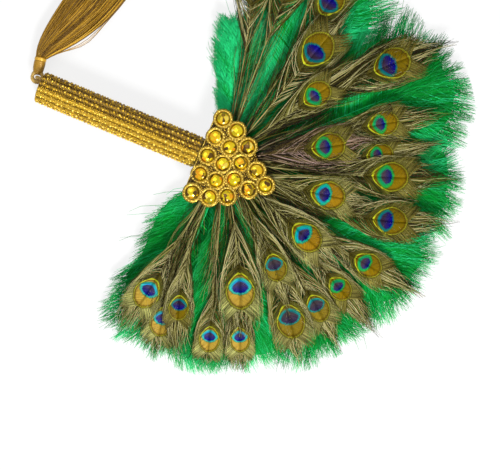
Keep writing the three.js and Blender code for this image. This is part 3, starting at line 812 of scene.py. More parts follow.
class FAN_OT_plumes(bpy.types.Operator):
    """Green plumes: a thin green vane and thousands of barbs on each"""

    bl_idname = "feather_fan.plumes"
    bl_label = "Green plumes"

    def execute(self, context):
        finish = plume_finish()
        for number, name in enumerate(PLUME_NODES):
            parts = self.plume(plume_line(name), scatter_of(PLUME_SCATTER + number))
            make_piece(f"plume_{number + 1:02d}", parts, finish, "fan", [name])
        return {"FINISHED"}

    def plume(self, line, scatter):
        s = sizes()
        return [self.vane(line), self.shaft(line), self.barbs(line, s.plume_barbs, s.plume_barb / MM, scatter)]

    def vane(self, line):
        """Thin sheet inside the plume: at the way s it is 0.84 half width(s) cos a aside and 0.45 sin a above its
        height, drawn in round and ragged at its end."""
        share = np.linspace(0.04, 0.91, 48)[:, None]
        angle = round_steps(36)
        close = np.sqrt(1 - np.clip((share - 0.55) / 0.4, 0, 1) ** 2)
        aside = 0.84 * close * self.spread(line, share * line.length, np.cos(angle)) * np.cos(angle)
        ragged = 2.5 * share * np.sin(0.9 * aside) * np.sin(0.37 * aside + 1)
        rings = line.place(share * line.length + ragged, aside, 0.45 * np.sin(angle))
        barb = share * line.length - 1.2 * np.abs(aside)
        tone = 0.36 + 0.75 * self.fresh(line) + 0.14 * np.sin(0.61 * barb) + 0.1 * np.sin(1.73 * barb + 1)
        return loft(rings, stacked(tone, 0.3 + 0.2 * np.abs(np.cos(angle))))

    def spread(self, line, along, side):
        """Half width of the plume, with enough down at its root to meet its neighbours. The two behind the fan's
        left half puff out wider, and so does the last one, most of all on its right next to the setting."""
        full = np.maximum(line.half_width(along), np.minimum(0.32 * (along + 14), 0.7 * line.half.max()))
        if line.bearing > LAST_PLUME:
            puff = np.interp(along, PUFF_ALONG, PUFF_WIDE)
            return np.where(side < 0, np.maximum(full, puff), LAST_PLUME_WIDE * full)
        return full * (WIDE_PLUME if WIDE_PLUMES[0] < line.bearing < WIDE_PLUMES[1] else 1.0)

    def fresh(self, line):
        """Lighter tone of the plumes at the fan's left side."""
        return np.clip((FRESH_FROM - line.bearing) / FRESH_OVER, 0, 1) * 0.5

    def shaft(self, line):
        along = np.linspace(0, 0.9, 16)[None] * line.length
        path = line.place(along, 0 * along, 0.3)
        return strands(path, taper(0.9, 0.25, 16), 0.9)

    def barbs(self, line, count, thick, scatter):
        """Each barb leaves the shaft, bows out and ends near the outline, drawn in towards its tuft."""
        side = both_sides(count)
        tufts = 22
        share = scatter.uniform(0.0, 1.0, count)
        tuft = np.floor(share * tufts).astype(int)
        drawn = (tuft + 0.5) / tufts + (share - (tuft + 0.5) / tufts) * 0.9
        pick = (side > 0).astype(int), tuft
        reach = scatter.uniform(0.88, 1.02, (2, tufts))[pick] + scatter.normal(0, 0.035, count)
        reach = reach * (1 - 0.7 * scatter.uniform(0, 1, count) ** 2.6)
        # The outline runs along the side to its end and then across the end to the shaft
        turn = 0.68
        bend = np.clip((drawn - turn) / (1 - turn), 0, 1)
        tip_along = np.where(drawn < turn, 0.1 + 0.82 * drawn / turn, 0.92 + 0.08 * np.sqrt(1 - (1 - bend) ** 2))
        wide = self.spread(line, np.minimum(tip_along, 0.95) * line.length, side) * (1 - bend)
        far = np.where(drawn < turn, tip_along, tip_along * np.minimum(0.6 + 0.4 * reach, 1.005))
        far *= LAST_PLUME_LONG if line.bearing > LAST_PLUME else 1.0
        stray = scatter.uniform(0, 1, count) < 0.004
        astray = np.where(stray, scatter.uniform(1.1, 1.4, count), np.minimum(reach, 1.03))
        tip = np.stack([far * line.length, side * wide * astray], -1)
        ahead = scatter.uniform(26, 60, count) * np.minimum(1, 0.35 + tip_along)
        ahead *= 0.5 if line.bearing < FIRST_PLUME else 1.0
        start = np.stack([np.maximum(tip[:, 0] - ahead, 0.03 * line.length), 0.35 * tip[:, 1] * (reach < 0.6)], -1)
        control = start + (tip - start) * np.array([0.42, 0.72])
        phase = scatter.uniform(0, 2 * np.pi, count)
        lift = scatter.uniform(-1, 1, (count, 1)) * (0.5 + 1.9 * np.linspace(0, 1, 5)[None])
        path = lay_barbs(line, bowed(start, control, tip, 5), lift, 2.4, phase)
        path[..., 2] = np.maximum(path[..., 2], CAD_BOX[0][2] / MM + thick / 2)
        tone = scatter.normal(0.42 + self.fresh(line), 0.18, count) + scatter.normal(0, 0.2, (2, tufts))[pick]
        return strands(path, taper(thick / 2, 0.14, 5, 1.8), np.clip(tone, 0.03, 0.95))


class FAN_OT_eye_feathers(bpy.types.Operator):
    """Eye feathers: the vane with its eye, the shaft and the loose herl"""

    bl_idname = "feather_fan.eye_feathers"
    bl_label = "Eye feathers"

    def execute(self, context):
        finishes = {name: eye_finish(f"eye_{name}", look) for name, look in EYE_LOOKS.items()}
        olive, mauve = herl_finish("herl", (1.0, 1.0, 1.0)), herl_finish("herl_mauve", (0.88, 0.66, 1.2))
        for number, (name, eye) in enumerate(zip(EYE_NODES, EYES)):
            line, scatter = eye_line(name), scatter_of(EYE_SCATTER + number)
            at, length = self.eye(line)
            tag = f"{number + 1:02d}"
            vane = [self.vane(line, at, length), self.barbs(line, at, length, scatter)]
            make_piece(f"eye_vane_{tag}", vane, finishes[eye], "fan", [name])
            fullness = 1.7 if number + 1 in BUSHY else 1.0
            herl = self.strands_of(line, at, length, fullness, BRUSHES.get(number + 1, 1.0), scatter)
            finish = mauve if number + 1 == MAUVE else olive
            make_piece(f"eye_herl_{tag}", herl, finish, "fan", [name])
        return {"FINISHED"}

    def eye(self, line):
        widest = np.argmax(line.half)
        return line.knots[widest], line.half[widest] / EYE_HALF_WIDTH

    def crown(self, aside):
        """Rise of the vane over the feather's height, in millimetres, at a way aside in lengths of the eye."""
        return 0.45 + 0.75 * np.clip(1 - (aside / 0.6) ** 2, 0, 1)

    def chart(self, along, aside):
        return stacked(0.5 + aside / VANE_ACROSS, (along + VANE_BEHIND) / VANE_ALONG)

    def vane(self, line, at, length):
        """Thin sheet under the eye: at the share t it is 0.44 sin(pi t)^0.6 eye lengths to each side."""
        t = np.linspace(0.015, 0.985, 30)[:, None]
        angle = round_steps(28)
        aside = 0.44 * np.sin(np.pi * t) ** 0.6 * np.cos(angle)
        along = -0.4 + 1.06 * t
        rings = line.place(at + length * along, length * aside, self.crown(aside) - 0.3 + 0.15 * np.sin(angle))
        return loft(rings, self.chart(along, aside))

    def barbs(self, line, at, length, scatter):
        """Barbs that leave the shaft at a slant and bow out past the ring. The eye is drawn on them by their
        place, which is moved a little for each barb."""
        count, rings = sizes().eye_barbs, 8
        side = both_sides(count)
        foot = np.linspace(-0.6, 0.62, count) + scatter.normal(0, 0.012, count)
        wide = 0.6 * np.sqrt(np.clip(1 - (foot / 0.8) ** 2, 0.06, 1)) * scatter.uniform(0.8, 1.06, count)
        start = np.stack([foot, 0 * foot], -1)
        tip = np.stack([foot + 0.78 * wide + 0.1, side * wide], -1)
        plan = bowed(start, start + (tip - start) * np.array([0.4, 0.62]), tip, rings)
        rise = self.crown(plan[..., 1]) + scatter.uniform(-0.1, 0.3, (count, 1))
        path = line.place(at + length * plan[..., 0], length * plan[..., 1], rise)
        spot = self.chart(plan[..., 0], plan[..., 1]) + scatter.normal(0, (0.002, 0.005), (count, 2))[:, None]
        return strands(path, taper(0.36, 0.14, rings, 1.5), spot)

    def strands_of(self, line, at, length, fullness, brush, scatter):
        s = sizes()
        thick = s.herl / MM
        mood = 0.49 + 0.0012 * line.bearing + scatter.uniform(-0.1, 0.1)
        share = np.interp(line.bearing, HERL_BEARINGS, HERL_SHARES)
        count = int(fullness * s.herl_strands * share)
        return [
            self.shaft(line, at, length),
            self.loose(line, at, length, count, thick, mood, scatter),
            self.collar(line, at, length, s.collar_strands, thick, mood, scatter),
            self.flame(line, at, length, brush, s.flame_strands, thick, mood, scatter),
        ]

    def shaft(self, line, at, length):
        along = np.linspace(0, at - 0.1 * length, 24)[None]
        path = line.place(along, 0 * along, 0.6)
        return strands(path, taper(0.85, 0.3, 24), 0.76)

    def tones(self, mood, layer, scatter):
        """Tones of strands by their layer from 0 to 1: dark below as painted shade, the feather's own tone above,
        and pale on top as a painted highlight.
        """
        count = len(layer)
        tone = np.where(layer < 0.45, scatter.uniform(0.0, 0.2, count), scatter.normal(mood, 0.34, count))
        tone = np.where(layer > 0.9, scatter.uniform(0.7, 0.95, count), tone)
        return np.clip(tone, 0.02, 0.97)

    def loose(self, line, at, length, count, thick, mood, scatter):
        """Strands that leave the shaft below the eye one after the other and cling together in ropes, which run
        on almost beside it. Some stray wide, more of them on the feathers halfway to the fan's left and at the
        end of its right."""
        far_left = line.bearing < FINE_HERL
        far_right = line.bearing >= RIGHT_HERL
        ropes = max(count // (3 if far_left else 9), 1)
        rope = scatter.integers(0, ropes, count)
        side = scatter.choice([-1.0, 1.0], ropes)[rope]
        wild = 0.5 if STRAY_HERL[0] < line.bearing < STRAY_HERL[1] or far_right else 0.28
        stray = (scatter.uniform(0, 1, ropes) < wild)[rope]
        layer = scatter.uniform(0, 1, count)
        end = (scatter.uniform(0.0, 1.0, ropes) * (at - 0.5 * length))[rope] + scatter.uniform(-16, 16, count)
        run = scatter.uniform(44, 84, count) * np.where(stray, 1.3, 1.0) * (1.6 if line.bearing < LONG_HERL else 1.0)
        swing = np.where(stray, 1.3 if far_right else 0.8, 0.3)
        out = 2 + (scatter.uniform(0, 1, ropes) ** 1.2)[rope] * swing * length
        start = np.stack([np.maximum(end, 4), 0 * end], -1)
        far = np.minimum(start[:, 0] + run, at + 0.5 * length)
        out = out * (far - start[:, 0]) / run + scatter.normal(0, 1.1, count)
        tip = np.stack([far, side * out], -1)
        control = start + (tip - start) * np.array([0.5, 0.5])
        rise = np.where(stray, 1.3, 1.7 * layer - 0.6)[:, None] * np.linspace(0.5, 1, 7)[None]
        phase = scatter.uniform(0, 2 * np.pi, ropes)[rope] + scatter.normal(0, 0.3, count)
        path = lay_barbs(line, bowed(start, control, tip, 7), rise, 3.2, phase)
        wide = thick / 2 * (1.2 - 0.45 * layer)[:, None] * (0.72 if far_left else 1.0)
        # Painted shade: strands that start nearer the throat are darker
        shade = 0.22 * np.clip(1 - 1.6 * start[:, 0] / at, 0, 1)
        return strands(path, wide * taper(1.0, 0.35, 7), np.clip(self.tones(mood, layer, scatter) - shade, 0.02, 1))

    def collar(self, line, at, length, count, thick, mood, scatter):
        """Strands from the shaft below the eye that bow out round its ring."""
        side = scatter.choice([-1.0, 1.0], count)
        layer = scatter.uniform(0, 1, count)
        start = np.stack([at - length * scatter.uniform(0.45, 1.9, count), np.zeros(count)], -1)
        tip_along = at + length * scatter.uniform(0.0, 1.0, count)
        tip = np.stack([tip_along, side * length * scatter.uniform(0.42, 0.64, count)], -1)
        control = stacked(at - 0.35 * length, side * length * scatter.uniform(0.5, 0.7, count))
        path = lay_barbs(line, bowed(start, control, tip, 7), (0.1 + layer)[:, None], 1.2, 9 * layer)
        return strands(path, taper(thick / 2, 0.12, 7), self.tones(mood, layer, scatter))

    def flame(self, line, at, length, brush, count, thick, mood, scatter):
        """Strands beyond the eye that run on as a ragged brush. They draw in to a point, but the feathers at the
        fan's right stay open to their ends."""
        end = brush * (line.length - at)
        point, fold, slope = (0.65, 1.06), (0.0, 0.7), 0.45
        if line.bearing >= OPEN_BRUSH:
            point, fold, slope = (0.55, 1.0), (0.45, 1.15), 0.15
        fold = (0.1, 1.0) if brush > 1 else fold
        layer = scatter.uniform(0, 1, count)
        out = scatter.uniform(-0.5, 0.5, count)
        first = 0.6 * np.sqrt(np.clip(1 - (out / 0.58) ** 2, 0, 1)) - scatter.uniform(0.0, 0.3, count)
        start = np.stack([at + length * first, length * out], -1)
        far = end * (1 - slope * np.abs(out / 0.5)) * scatter.uniform(*point, count)
        tip = np.stack([at + far, length * out * scatter.uniform(*fold, count)], -1)
        control = np.stack([(start[:, 0] + tip[:, 0]) / 2, length * out * 0.95], -1)
        path = lay_barbs(line, bowed(start, control, tip, 6), (1.1 * layer - 0.4)[:, None], 2.0, 9 * layer)
        return strands(path, taper(thick / 2, 0.12, 6), self.tones(mood - 0.08, layer, scatter))


Strip = namedtuple("Strip", "axis butt top inner outer start sweep")


class FAN_OT_handle(bpy.types.Operator):
    """Handle: three strips of beaded braid round the wooden core"""

    bl_idname = "feather_fan.handle"
    bl_label = "Handle"

    ribs = 5

    def execute(self, context):
        low, high = box_of("handle_core")
        butt, top = low[1], high[1]
        axis = np.array([(low[0] + high[0]) / 2, (low[2] + high[2]) / 2])
        inner = (high[0] - low[0]) / 2 + 0.3
        outer = max(np.hypot(*(node_points(name)[:, [0, 2]] - axis).T).max() for name in STRIP_NODES) + 0.9
        c = colours()
        finish = gold_finish("braid_gold", (c.gold_deep, c.gold_mid, c.gold_light), 0.3, 0.55)
        count = len(STRIP_NODES)
        for number, name in enumerate(STRIP_NODES):
            scatter = scatter_of(BRAID_SCATTER + number)
            start = math.pi / 2 + number * 2 * math.pi / count
            sweep = 2 * math.pi / count - 0.3 / inner
            strip = Strip(axis, butt, top, inner, outer, start, sweep)
            # Painted shade: the first strip, from the handle's top round to the side away from the key lamp, is
            # darkened
            painted_shade = 0.28 if number == 0 else 0.0
            rows, seams = self.row_beads(strip, painted_shade, scatter), self.seam_beads(strip, painted_shade, scatter)
            parts = [self.ribbon(strip, painted_shade), rows, seams]
            make_piece(f"braid_{number + 1}", parts, finish, "fan", [name])
        wood = grain_finish("core_wood", c.wood, 0.6, 220.0, (6, 0.5, 6), 0.4 * MM, 0.6)
        dress_node("handle_core", wood)
        return {"FINISHED"}

    def spot(self, strip, share, along, radius):
        """Point at a share of the strip's sweep, a way along the handle and a radius."""
        angle = strip.start + share * strip.sweep
        x, z = strip.axis[0] + radius * np.cos(angle), strip.axis[1] + radius * np.sin(angle)
        return stacked(x, along, z)

    def ribbon(self, strip, painted_shade):
        """Strip with a rib under each row: outer radius less 0.5 (1 + cos(2 pi ribs share)) and a twill of
        0.12 sin(1.9 y + 40 share)."""
        along = np.linspace(strip.butt + 0.4, strip.top - 0.2, 150)[:, None]
        share = np.linspace(0, 1, 51)[None]
        rib, twill = np.cos(2 * np.pi * self.ribs * share), 0.12 * np.sin(1.9 * along + 40 * share)
        over = strip.outer - 0.75 - 0.5 * (1 + rib) + twill
        back = share[:, ::5][:, ::-1]
        upper, under = self.spot(strip, share, along, over), self.spot(strip, back, along, strip.inner)
        # Painted shade: the face darkens in the hollows between the ribs and is lighter on the twill's crests, the
        # darkened strip's face is darker still, and the rear against the core is painted dark
        face = stacked(0.46 - painted_shade + twill, 0.34 - 0.18 * rib)
        rear = np.broadcast_to(stacked(0.3 + 0.2 * back, 0.1 + 0.1 * back), (*under.shape[:2], 2))
        rings, chart = np.concatenate([upper, under], 1), np.concatenate([face, rear], 1)
        return loft(rings[:, ::-1], chart[:, ::-1])

    def row_beads(self, strip, painted_shade, scatter):
        """Rows on the ribs, a large bead and a small one in turn."""
        s, butt, top = sizes(), strip.butt, strip.top
        pitch, large = s.bead_pitch / MM, s.bead / MM / 2
        count = int((top - butt - 2) / pitch)
        row, step = np.meshgrid(np.arange(self.ribs), np.arange(count), indexing="ij")
        along = butt + 1.2 + pitch * (step + 0.5 * (row % 2)) + scatter.normal(0, 0.5, row.shape)
        radius = np.where(step % 2, large, 0.82 * large) * scatter.uniform(0.8, 1.12, row.shape)
        share = (row + 0.5) / self.ribs + scatter.normal(0, 0.018, row.shape)
        along = np.clip(along, butt + 1.4, top - 1.4)
        centres = self.spot(strip, share, along, strip.outer - 0.72 * radius)
        tone = np.where(step % 2, scatter.uniform(0.6, 1, row.shape), scatter.uniform(0.2, 0.7, row.shape))
        # The darkened strip's beads take the same painted shade, mottled
        tone = tone - painted_shade * scatter.uniform(0, 2, row.shape)
        return beads(ball(8, 4), centres.reshape(-1, 3), radius.ravel(), np.clip(tone, 0.03, 0.95).ravel())

    def seam_beads(self, strip, painted_shade, scatter):
        """Fine beads in the hollows between the rows."""
        pitch = 0.62 * sizes().bead_pitch / MM
        count = int((strip.top - strip.butt - 2) / pitch)
        row, step = np.meshgrid(np.arange(self.ribs + 1), np.arange(count), indexing="ij")
        along = strip.butt + 0.9 + pitch * step + scatter.normal(0, 0.25, row.shape)
        share = np.clip(row / self.ribs + scatter.normal(0, 0.012, row.shape), 0.012, 0.988)
        radius = scatter.uniform(0.55, 0.85, row.size)
        centres = self.spot(strip, share, along, strip.outer - 1.15).reshape(-1, 3)
        # The darkened strip's fine beads take its painted shade too
        tone = np.clip(scatter.uniform(0.0, 0.7, row.size) - painted_shade, 0.03, 1)
        return beads(ball(6, 3), centres, radius, tone)


class FAN_OT_throat(bpy.types.Operator):
    """Throat: the setting with its beaded cups, the board and the pad"""

    bl_idname = "feather_fan.throat"
    bl_label = "Setting"

    def execute(self, context):
        c = colours()
        centres = np.array([(np.array(a) + np.array(b)) / 2 for a, b in map(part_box, STONE_NODES)]) / MM
        stone_low, stone_high = box_of(STONE_NODES[0])
        low, high = box_of("gem_setting")
        bed = stone_low[2] - 0.3
        stone = (stone_high[0] - stone_low[0]) / 2
        edge = high[0] - centres[:, 0].max()
        scatter = scatter_of(SETTING_SCATTER)
        parts = [self.plate(centres, edge - 5, low[2], bed)]
        parts += self.edging(centres, edge, low[2], bed, scatter)
        parts.append(self.ground(centres, edge, bed, scatter))
        for number, centre in enumerate(centres):
            cup = self.cup(centre, stone + 0.25, edge + 1.1, bed, high[2], scatter)
            for part in cup:
                lean_over(part.points, centre, number)
            parts += cup
        finish = gold_finish("setting_gold", (c.trim_deep, c.trim_mid, c.trim_light), 0.26, 0.7)
        make_piece("setting", parts, finish, "fan", ["gem_setting"])
        felt = grain_finish("pad_felt", c.felt, 0.55, 900.0, (1, 1, 1), 0.6 * MM, 1.0)
        card = grain_finish("board_card", c.card, 0.7, 500.0, (1, 1, 1), 0.2 * MM, 0.9)
        dress_node("back_pad", felt)
        dress_node("feather_board", card)
        return {"FINISHED"}

    def outline(self, centres, reach, steps):
        """Rounded hull of the stones: for each bearing, the outermost stone's centre plus the reach that way."""
        way = compass(round_steps(steps))
        return centres[np.argmax(centres[:, :2] @ way.T, axis=0), :2] + reach * way

    def plate(self, centres, edge, low, bed):
        line = self.outline(centres, edge, 96)
        middle = line.mean(0)
        steps = [(0.5, low), (0.985, low), (1.0, low + 0.4), (1.0, bed - 0.4), (0.985, bed), (0.5, bed)]
        rings = np.stack([np.column_stack([middle + k * (line - middle), np.full(len(line), z)]) for k, z in steps])
        # Painted shade: the plate is drawn nearly black so that the gaps between the cups read as shadow
        tone = 0.05 + 0.03 * np.sin(np.arange(96) * 2 * np.pi / 4)
        return loft(rings, stacked(tone, np.linspace(0.0, 0.1, len(steps))[:, None]))

    def edging(self, centres, edge, low, bed, scatter):
        """Flat band along the straight side next to the handle, with fine beads on its edge."""
        first = centres[:, 1].min()
        row = centres[np.abs(centres[:, 1] - first) < 1, 0]
        x = np.arange(row.min() - 0.6 * edge, row.max() + 0.6 * edge, 1.5)
        level = np.full(len(x), bed + 0.5)
        spots = np.column_stack([x, np.full(len(x), first - edge + 0.75), level])
        near, far = first - edge + 0.3, first - 0.4 * edge
        across = np.array([[near, low], [far, low], [far, bed - 0.3], [near, bed - 0.3]])
        band = stacked(x[:, None], *across.T)
        # Painted shade: the band is drawn dark, low on the shade ramp like the plate
        chart = stacked(np.linspace(0.02, 0.2, len(x))[:, None], np.linspace(0, 0.12, 4))
        return [loft(band, chart), beads(ball(8, 4), spots, 0.75, scatter.uniform(0.35, 0.95, len(x)))]

    def ground(self, centres, edge, bed, scatter):
        """Small beads on the plate, every 1.7 mm where no cup stands and no farther out than the plate."""
        low, high = centres[:, :2].min(0) - edge, centres[:, :2].max(0) + edge
        x, y = np.meshgrid(np.arange(low[0], high[0], 1.7), np.arange(low[1], high[1], 1.7))
        spots = np.column_stack([x.ravel(), y.ravel()]) + scatter.normal(0, 0.25, (x.size, 2))
        way = compass(round_steps(96))
        inside = (spots @ way.T < (centres[:, :2] @ way.T).max(0) + edge - 5).all(1)
        clear = np.linalg.norm(spots[:, None] - centres[None, :, :2], axis=2).min(1) > edge - 0.6
        spots = spots[inside & clear]
        spots = np.column_stack([spots, np.full(len(spots), bed + 0.5)])
        radius, tone = scatter.uniform(0.6, 1.0, len(spots)), scatter.uniform(0.0, 0.6, len(spots))
        return beads(ball(6, 3), spots, radius, tone)

    def cup(self, centre, inner, outer, bed, top, scatter):
        """Round wall of a cup, turned from an oval between its two radii, with a ring of beads on it and a lower
        ring of smaller beads outside."""
        turn = round_steps(40)
        around = round_steps(12)
        middle, half = (inner + outer) / 2, (outer - inner) / 2
        radius = middle + half * np.cos(around)
        height = bed + 0.35 * (top - bed) + 0.5 * (top - bed) * np.sin(around)
        x, y = (centre[k] + radius * way[:, None] for k, way in enumerate(compass(turn).T))
        rings = stacked(x, y, height)
        # Painted light and shade: the wall is lighter on its inner side towards the stone and dark on its outer side
        chart = stacked(0.3 - 0.25 * np.cos(around), 0.38 - 0.24 * np.cos(around))
        wall = loft(rings[:, ::-1], np.broadcast_to(chart, (*rings.shape[:2], 2)), joined=True)
        bead = sizes().rim_bead / MM / 2
        upper = self.bead_ring(centre, middle, top - 0.4 * bead, bead, (0.6, 1.0), scatter)
        lower = self.bead_ring(centre, outer - 0.35, bed + 0.4 * (top - bed), 0.7 * bead, (0.1, 0.7), scatter)
        return [wall, upper, lower]

    def bead_ring(self, centre, radius, level, bead, tones, scatter):
        count = int(2 * np.pi * radius / (2.6 * bead))
        angle = 2 * np.pi * (np.arange(count) + scatter.uniform()) / count
        around = stacked(np.cos(angle), np.sin(angle), 0.0)
        spots = radius * around + [centre[0], centre[1], level] + scatter.normal(0, 0.1, (count, 3))
        return beads(ball(8, 4), spots, bead * scatter.uniform(0.85, 1.08, count), scatter.uniform(*tones, count))


class FAN_OT_stones(bpy.types.Operator):
    """Domed stones in the cups"""

    bl_idname = "feather_fan.stones"
    bl_label = "Stones"

    def execute(self, context):
        finish = stone_finish()
        for number, name in enumerate(STONE_NODES):
            low, high = box_of(name)
            dome = self.dome(low, high)
            lean_over(dome.points, (low + high) / 2, number)
            make_piece(f"stone_{number + 1:02d}", [dome], finish, "fan", [name])
        return {"FINISHED"}

    def dome(self, low, high):
        """Half oval over a short girdle: at the angle b its radius is r cos b and its height h sin b."""
        radius, height = (high[0] - low[0]) / 2, high[2] - low[2]
        girdle = 0.2 * height
        b = np.linspace(0, 0.47 * np.pi, 12)
        curve = stacked(radius * np.cos(b), girdle + (height - girdle) * np.sin(b))
        profile = np.vstack([[0.5 * radius, 0], [radius, 0], curve])
        turn = round_steps(32)
        rings = stacked(profile[:, :1] * np.cos(turn), profile[:, :1] * np.sin(turn), profile[:, 1:])
        rings += [(low[0] + high[0]) / 2, (low[1] + high[1]) / 2, low[2]]
        return loft(rings, stacked(turn / 7, np.linspace(0, 1, len(profile))[:, None]))


class FAN_OT_loops(bpy.types.Operator):
    """Cord loops that hold the tassel on the butt"""

    bl_idname = "feather_fan.loops"
    bl_label = "Cord loops"

    def execute(self, context):
        finish = cord_finish()
        make_piece("butt_loop", [self.butt_loop()], finish, "fan", ["hanging_loop"])
        make_piece("tassel_ring", [self.ring()], finish, "tassel_link", ["tassel_loop"])
        return {"FINISHED"}

    def butt_loop(self):
        """Leg, half circle and leg, upright in the plane of the handle."""
        low, high = box_of("hanging_loop")
        radius = (high[0] - low[0]) / 2
        bow = (high[2] - low[2]) / 2 - radius
        middle = np.array([(low[0] + high[0]) / 2, low[1] + radius + bow, (low[2] + high[2]) / 2])
        angle = np.linspace(0, np.pi, 40)
        half = stacked(0.0, -bow * np.sin(angle), bow * np.cos(angle)) + middle
        leg = np.linspace(high[1], middle[1] + 0.3, 14)
        upper = stacked(middle[0], leg, middle[2] + bow)
        lower = upper[::-1] * [1, 1, 0] + [0, 0, middle[2] - bow]
        return cord(np.vstack([upper, half, lower]), (1.0, 0.0, 0.0), radius, 3, 5, 0.6)

    def ring(self):
        """Level circle of wound cord. With b the angle from its middle's way to the tassel, the cord's radius
        is r (1 + 0.5 max(0, -cos b) + 0.7 max(0, cos b)): away from the tassel it grows outwards only, and next
        to the tassel inwards only."""
        low, high = box_of("tassel_loop")
        radius = (high[2] - low[2]) / 2
        middle = (low + high) / 2
        angle = round_steps(64)
        bow = (high[0] - low[0]) / 2 - radius
        head = np.mean(np.array(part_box("tassel_head")), axis=0) / MM - middle
        nearness = np.cos(angle - math.atan2(head[1], head[0]))
        outward = 0.5 * radius * np.clip(-nearness, 0, 1)
        inward = 0.7 * radius * np.clip(nearness, 0, 1)
        around = stacked(np.cos(angle), np.sin(angle), 0.0)
        path = middle + (bow + outward - inward)[:, None] * around
        thick = (radius + outward + inward)[:, None, None]
        return cord(path, (0.0, 0.0, 1.0), thick, 3, 9, 0.6, joined=True)


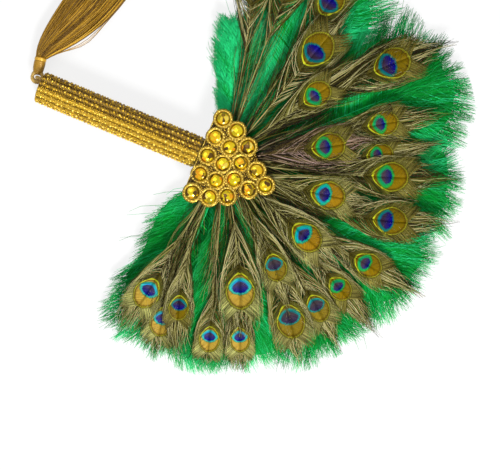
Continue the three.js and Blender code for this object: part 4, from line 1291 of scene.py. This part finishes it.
class FAN_OT_tassel(bpy.types.Operator):
    """Tassel: wound head, pale binding and a skirt of threads"""

    bl_idname = "feather_fan.tassel"
    bl_label = "Tassel"

    def execute(self, context):
        lift = next(joint for joint in frame["joints"] if joint["name"] == "tassel_lift")
        lug = np.array(lift["pos_m"]) / MM
        corners = node_points("tassel_head")
        heading = unit((corners.mean(0) - lug) * [1, 1, 0])
        end = ((corners - lug) @ heading).max()
        side = np.array([-heading[1], heading[0], 0])
        width = ((corners - lug) @ side).max()
        scatter = scatter_of(TASSEL_SCATTER)
        finish = thread_finish()
        head = self.head(lug, heading, side, end, width)
        make_piece("tassel_top", [head], finish, "tassel", ["tassel_head"])
        skirt = self.skirt(lug + end * heading, heading, 1.12 * width, scatter)
        make_piece("tassel_threads", skirt, finish, "tassel", ["tassel_skirt"])
        return {"FINISHED"}

    def head(self, lug, heading, side, end, width):
        """Wound head along the heading. With the profiles wide and tall and a winding of 0.14 sin(9 y), its
        point at the angle a stands wide (0.12 + 1.12 cos a) aside, so that it bulges away from the handle, and
        tall sin a above the heading. It is low next to the lug, so that it can lift past the loop on the butt."""
        knots = np.array([-3.2, -2.4, 0.0, 3.0, 6.0, 8.6, 9.4, 10.4, 11.6, 12.6, 13.2]) * end / 13.2
        wide = np.array([0.45, 0.7, 0.86, 0.95, 0.98, 0.98, 0.93, 1.0, 1.0, 0.97, 0.92]) * width
        tall = np.array([0.4, 0.6, 0.74, 0.77, 0.88, 0.98, 0.93, 1.0, 1.0, 0.97, 0.92]) * width
        along = np.linspace(knots[0], knots[-1], 90)[:, None]
        winding = 0.14 * np.sin(9 * along)
        turn = round_steps(28)
        aside = (np.interp(along, knots, wide) + winding) * (0.12 + 1.12 * np.cos(turn))
        above = (np.interp(along, knots, tall) + winding) * np.sin(turn)
        rings = lug + along[..., None] * heading + aside[..., None] * side + above[..., None] * [0.0, 0.0, 1.0]
        bound = (along > 0.74 * end) & (along < 0.93 * end)
        # The tone follows the winding: lighter on its ridges and darker in its grooves, painted highlight and
        # painted shade; the binding is pale
        tone = np.where(bound, 0.9, 0.5) + 0.1 * np.sin(9 * along) + 0.04 * np.cos(turn)
        return loft(rings, stacked(tone, 0.6 + 0.3 * np.sin(9 * along)))

    def bundle(self, start, heading, width, t, q, a):
        """Places in the skirt. The curve is (1-t)^3 start + 3t(1-t)^2 leave + 3t^2(1-t) arrive + t^3 end, and the
        polar place (q, a) of the bundle stands wide(t) q cos a aside of it and high(t) q sin a above it."""
        s = sizes()
        length = s.skirt_length / MM
        chord, last = (
            np.array([math.sin(angle), math.cos(angle), 0.0])
            for angle in (s.skirt_bearing, s.skirt_bearing - s.skirt_curl)
        )
        end = start + length * chord
        end[2] = CAD_BOX[0][2] / MM + s.skirt_thickness / MM / 2
        leave, arrive = start + length / 8 * heading, end - length / 2 * last
        t = t[..., None]
        curve = (1 - t) ** 3 * start + 3 * t * (1 - t) ** 2 * leave + 3 * t**2 * (1 - t) * arrive + t**3 * end
        way = (1 - t) ** 2 * (leave - start) + 2 * t * (1 - t) * (arrive - leave) + t**2 * (end - arrive)
        left = unit(np.cross((0.0, 0.0, 1.0), way))
        up = unit(np.cross(way, left))
        spread = np.sin(np.pi / 2 * t) ** s.skirt_flare
        wide = width + (s.skirt_width / MM / 2 - width) * spread
        high = width + (s.skirt_thickness / MM / 2 - width) * spread
        return curve + wide * (q * np.cos(a))[..., None] * left + high * (q * np.sin(a))[..., None] * up

    def skirt(self, start, heading, width, scatter):
        count, rings = sizes().threads, 14
        q = np.sqrt(scatter.uniform(0.25, 1, (count, 1)))
        a = scatter.uniform(0, 2 * np.pi, (count, 1))
        t = np.linspace(0, 1, rings)[None] * scatter.uniform(0.93, 1, (count, 1))
        phase = scatter.uniform(0, 2 * np.pi, (count, 1))
        # A few threads bow out of the skirt's inner side
        a[:3], q[:3] = np.pi + 0.2, 1.0
        bow = np.where(np.arange(count) < 3, 0.14 + 0.08 * np.arange(count), 0)[:, None]
        q = 0.96 * q + bow * np.exp(-(((t - 0.48) / 0.17) ** 2))
        path = self.bundle(start, heading, width, t, q, a + 0.1 * t * np.sin(7 * t + phase))
        tone = np.clip(0.48 + 0.1 * np.sin(9 * a[:, 0]) + scatter.normal(0, 0.32, count), 0.03, 0.95)
        hair = strands(path, np.full((count, rings), sizes().thread / MM / 2), tone)
        # A darker fluted core fills the skirt: painted shade between the threads, lighter on the flutes' crests
        t = np.linspace(0, 0.95, 30)[:, None]
        a = round_steps(36)[None]
        rings = self.bundle(start, heading, width, t, 0.72 + 0.04 * np.cos(9 * a), a)
        return [hair, loft(rings, stacked(0.25 + 0.12 * np.cos(9 * a), 0.3 + 0.4 * t))]


class FAN_PT_panel(bpy.types.Panel):
    """Lists the fan's pieces in the sidebar"""

    bl_label = "Feather fan"
    bl_idname = "FAN_PT_panel"
    bl_space_type = "VIEW_3D"
    bl_region_type = "UI"
    bl_category = "Fan"

    def draw(self, context):
        for operator in OPERATORS:
            self.layout.operator(operator.bl_idname)
        for group in (context.scene.feather_fan_sizes, context.scene.feather_fan_colours):
            for name in group.__annotations__:
                self.layout.prop(group, name)


OPERATORS = (
    FAN_OT_stage,
    FAN_OT_plumes,
    FAN_OT_eye_feathers,
    FAN_OT_handle,
    FAN_OT_throat,
    FAN_OT_stones,
    FAN_OT_loops,
    FAN_OT_tassel,
)
CLASSES = (FanSizes, FanColours, *OPERATORS, FAN_PT_panel)


def register():
    for kind in CLASSES:
        bpy.utils.register_class(kind)
    bpy.types.Scene.feather_fan_sizes = bpy.props.PointerProperty(type=FanSizes)
    bpy.types.Scene.feather_fan_colours = bpy.props.PointerProperty(type=FanColours)


def unregister():
    del bpy.types.Scene.feather_fan_colours
    del bpy.types.Scene.feather_fan_sizes
    for kind in reversed(CLASSES):
        bpy.utils.unregister_class(kind)


def main():
    register()
    bpy.ops.feather_fan.stage()
    bpy.ops.feather_fan.plumes()
    bpy.ops.feather_fan.eye_feathers()
    bpy.ops.feather_fan.handle()
    bpy.ops.feather_fan.throat()
    bpy.ops.feather_fan.stones()
    bpy.ops.feather_fan.loops()
    bpy.ops.feather_fan.tassel()


if __name__ == "__main__":
    main()
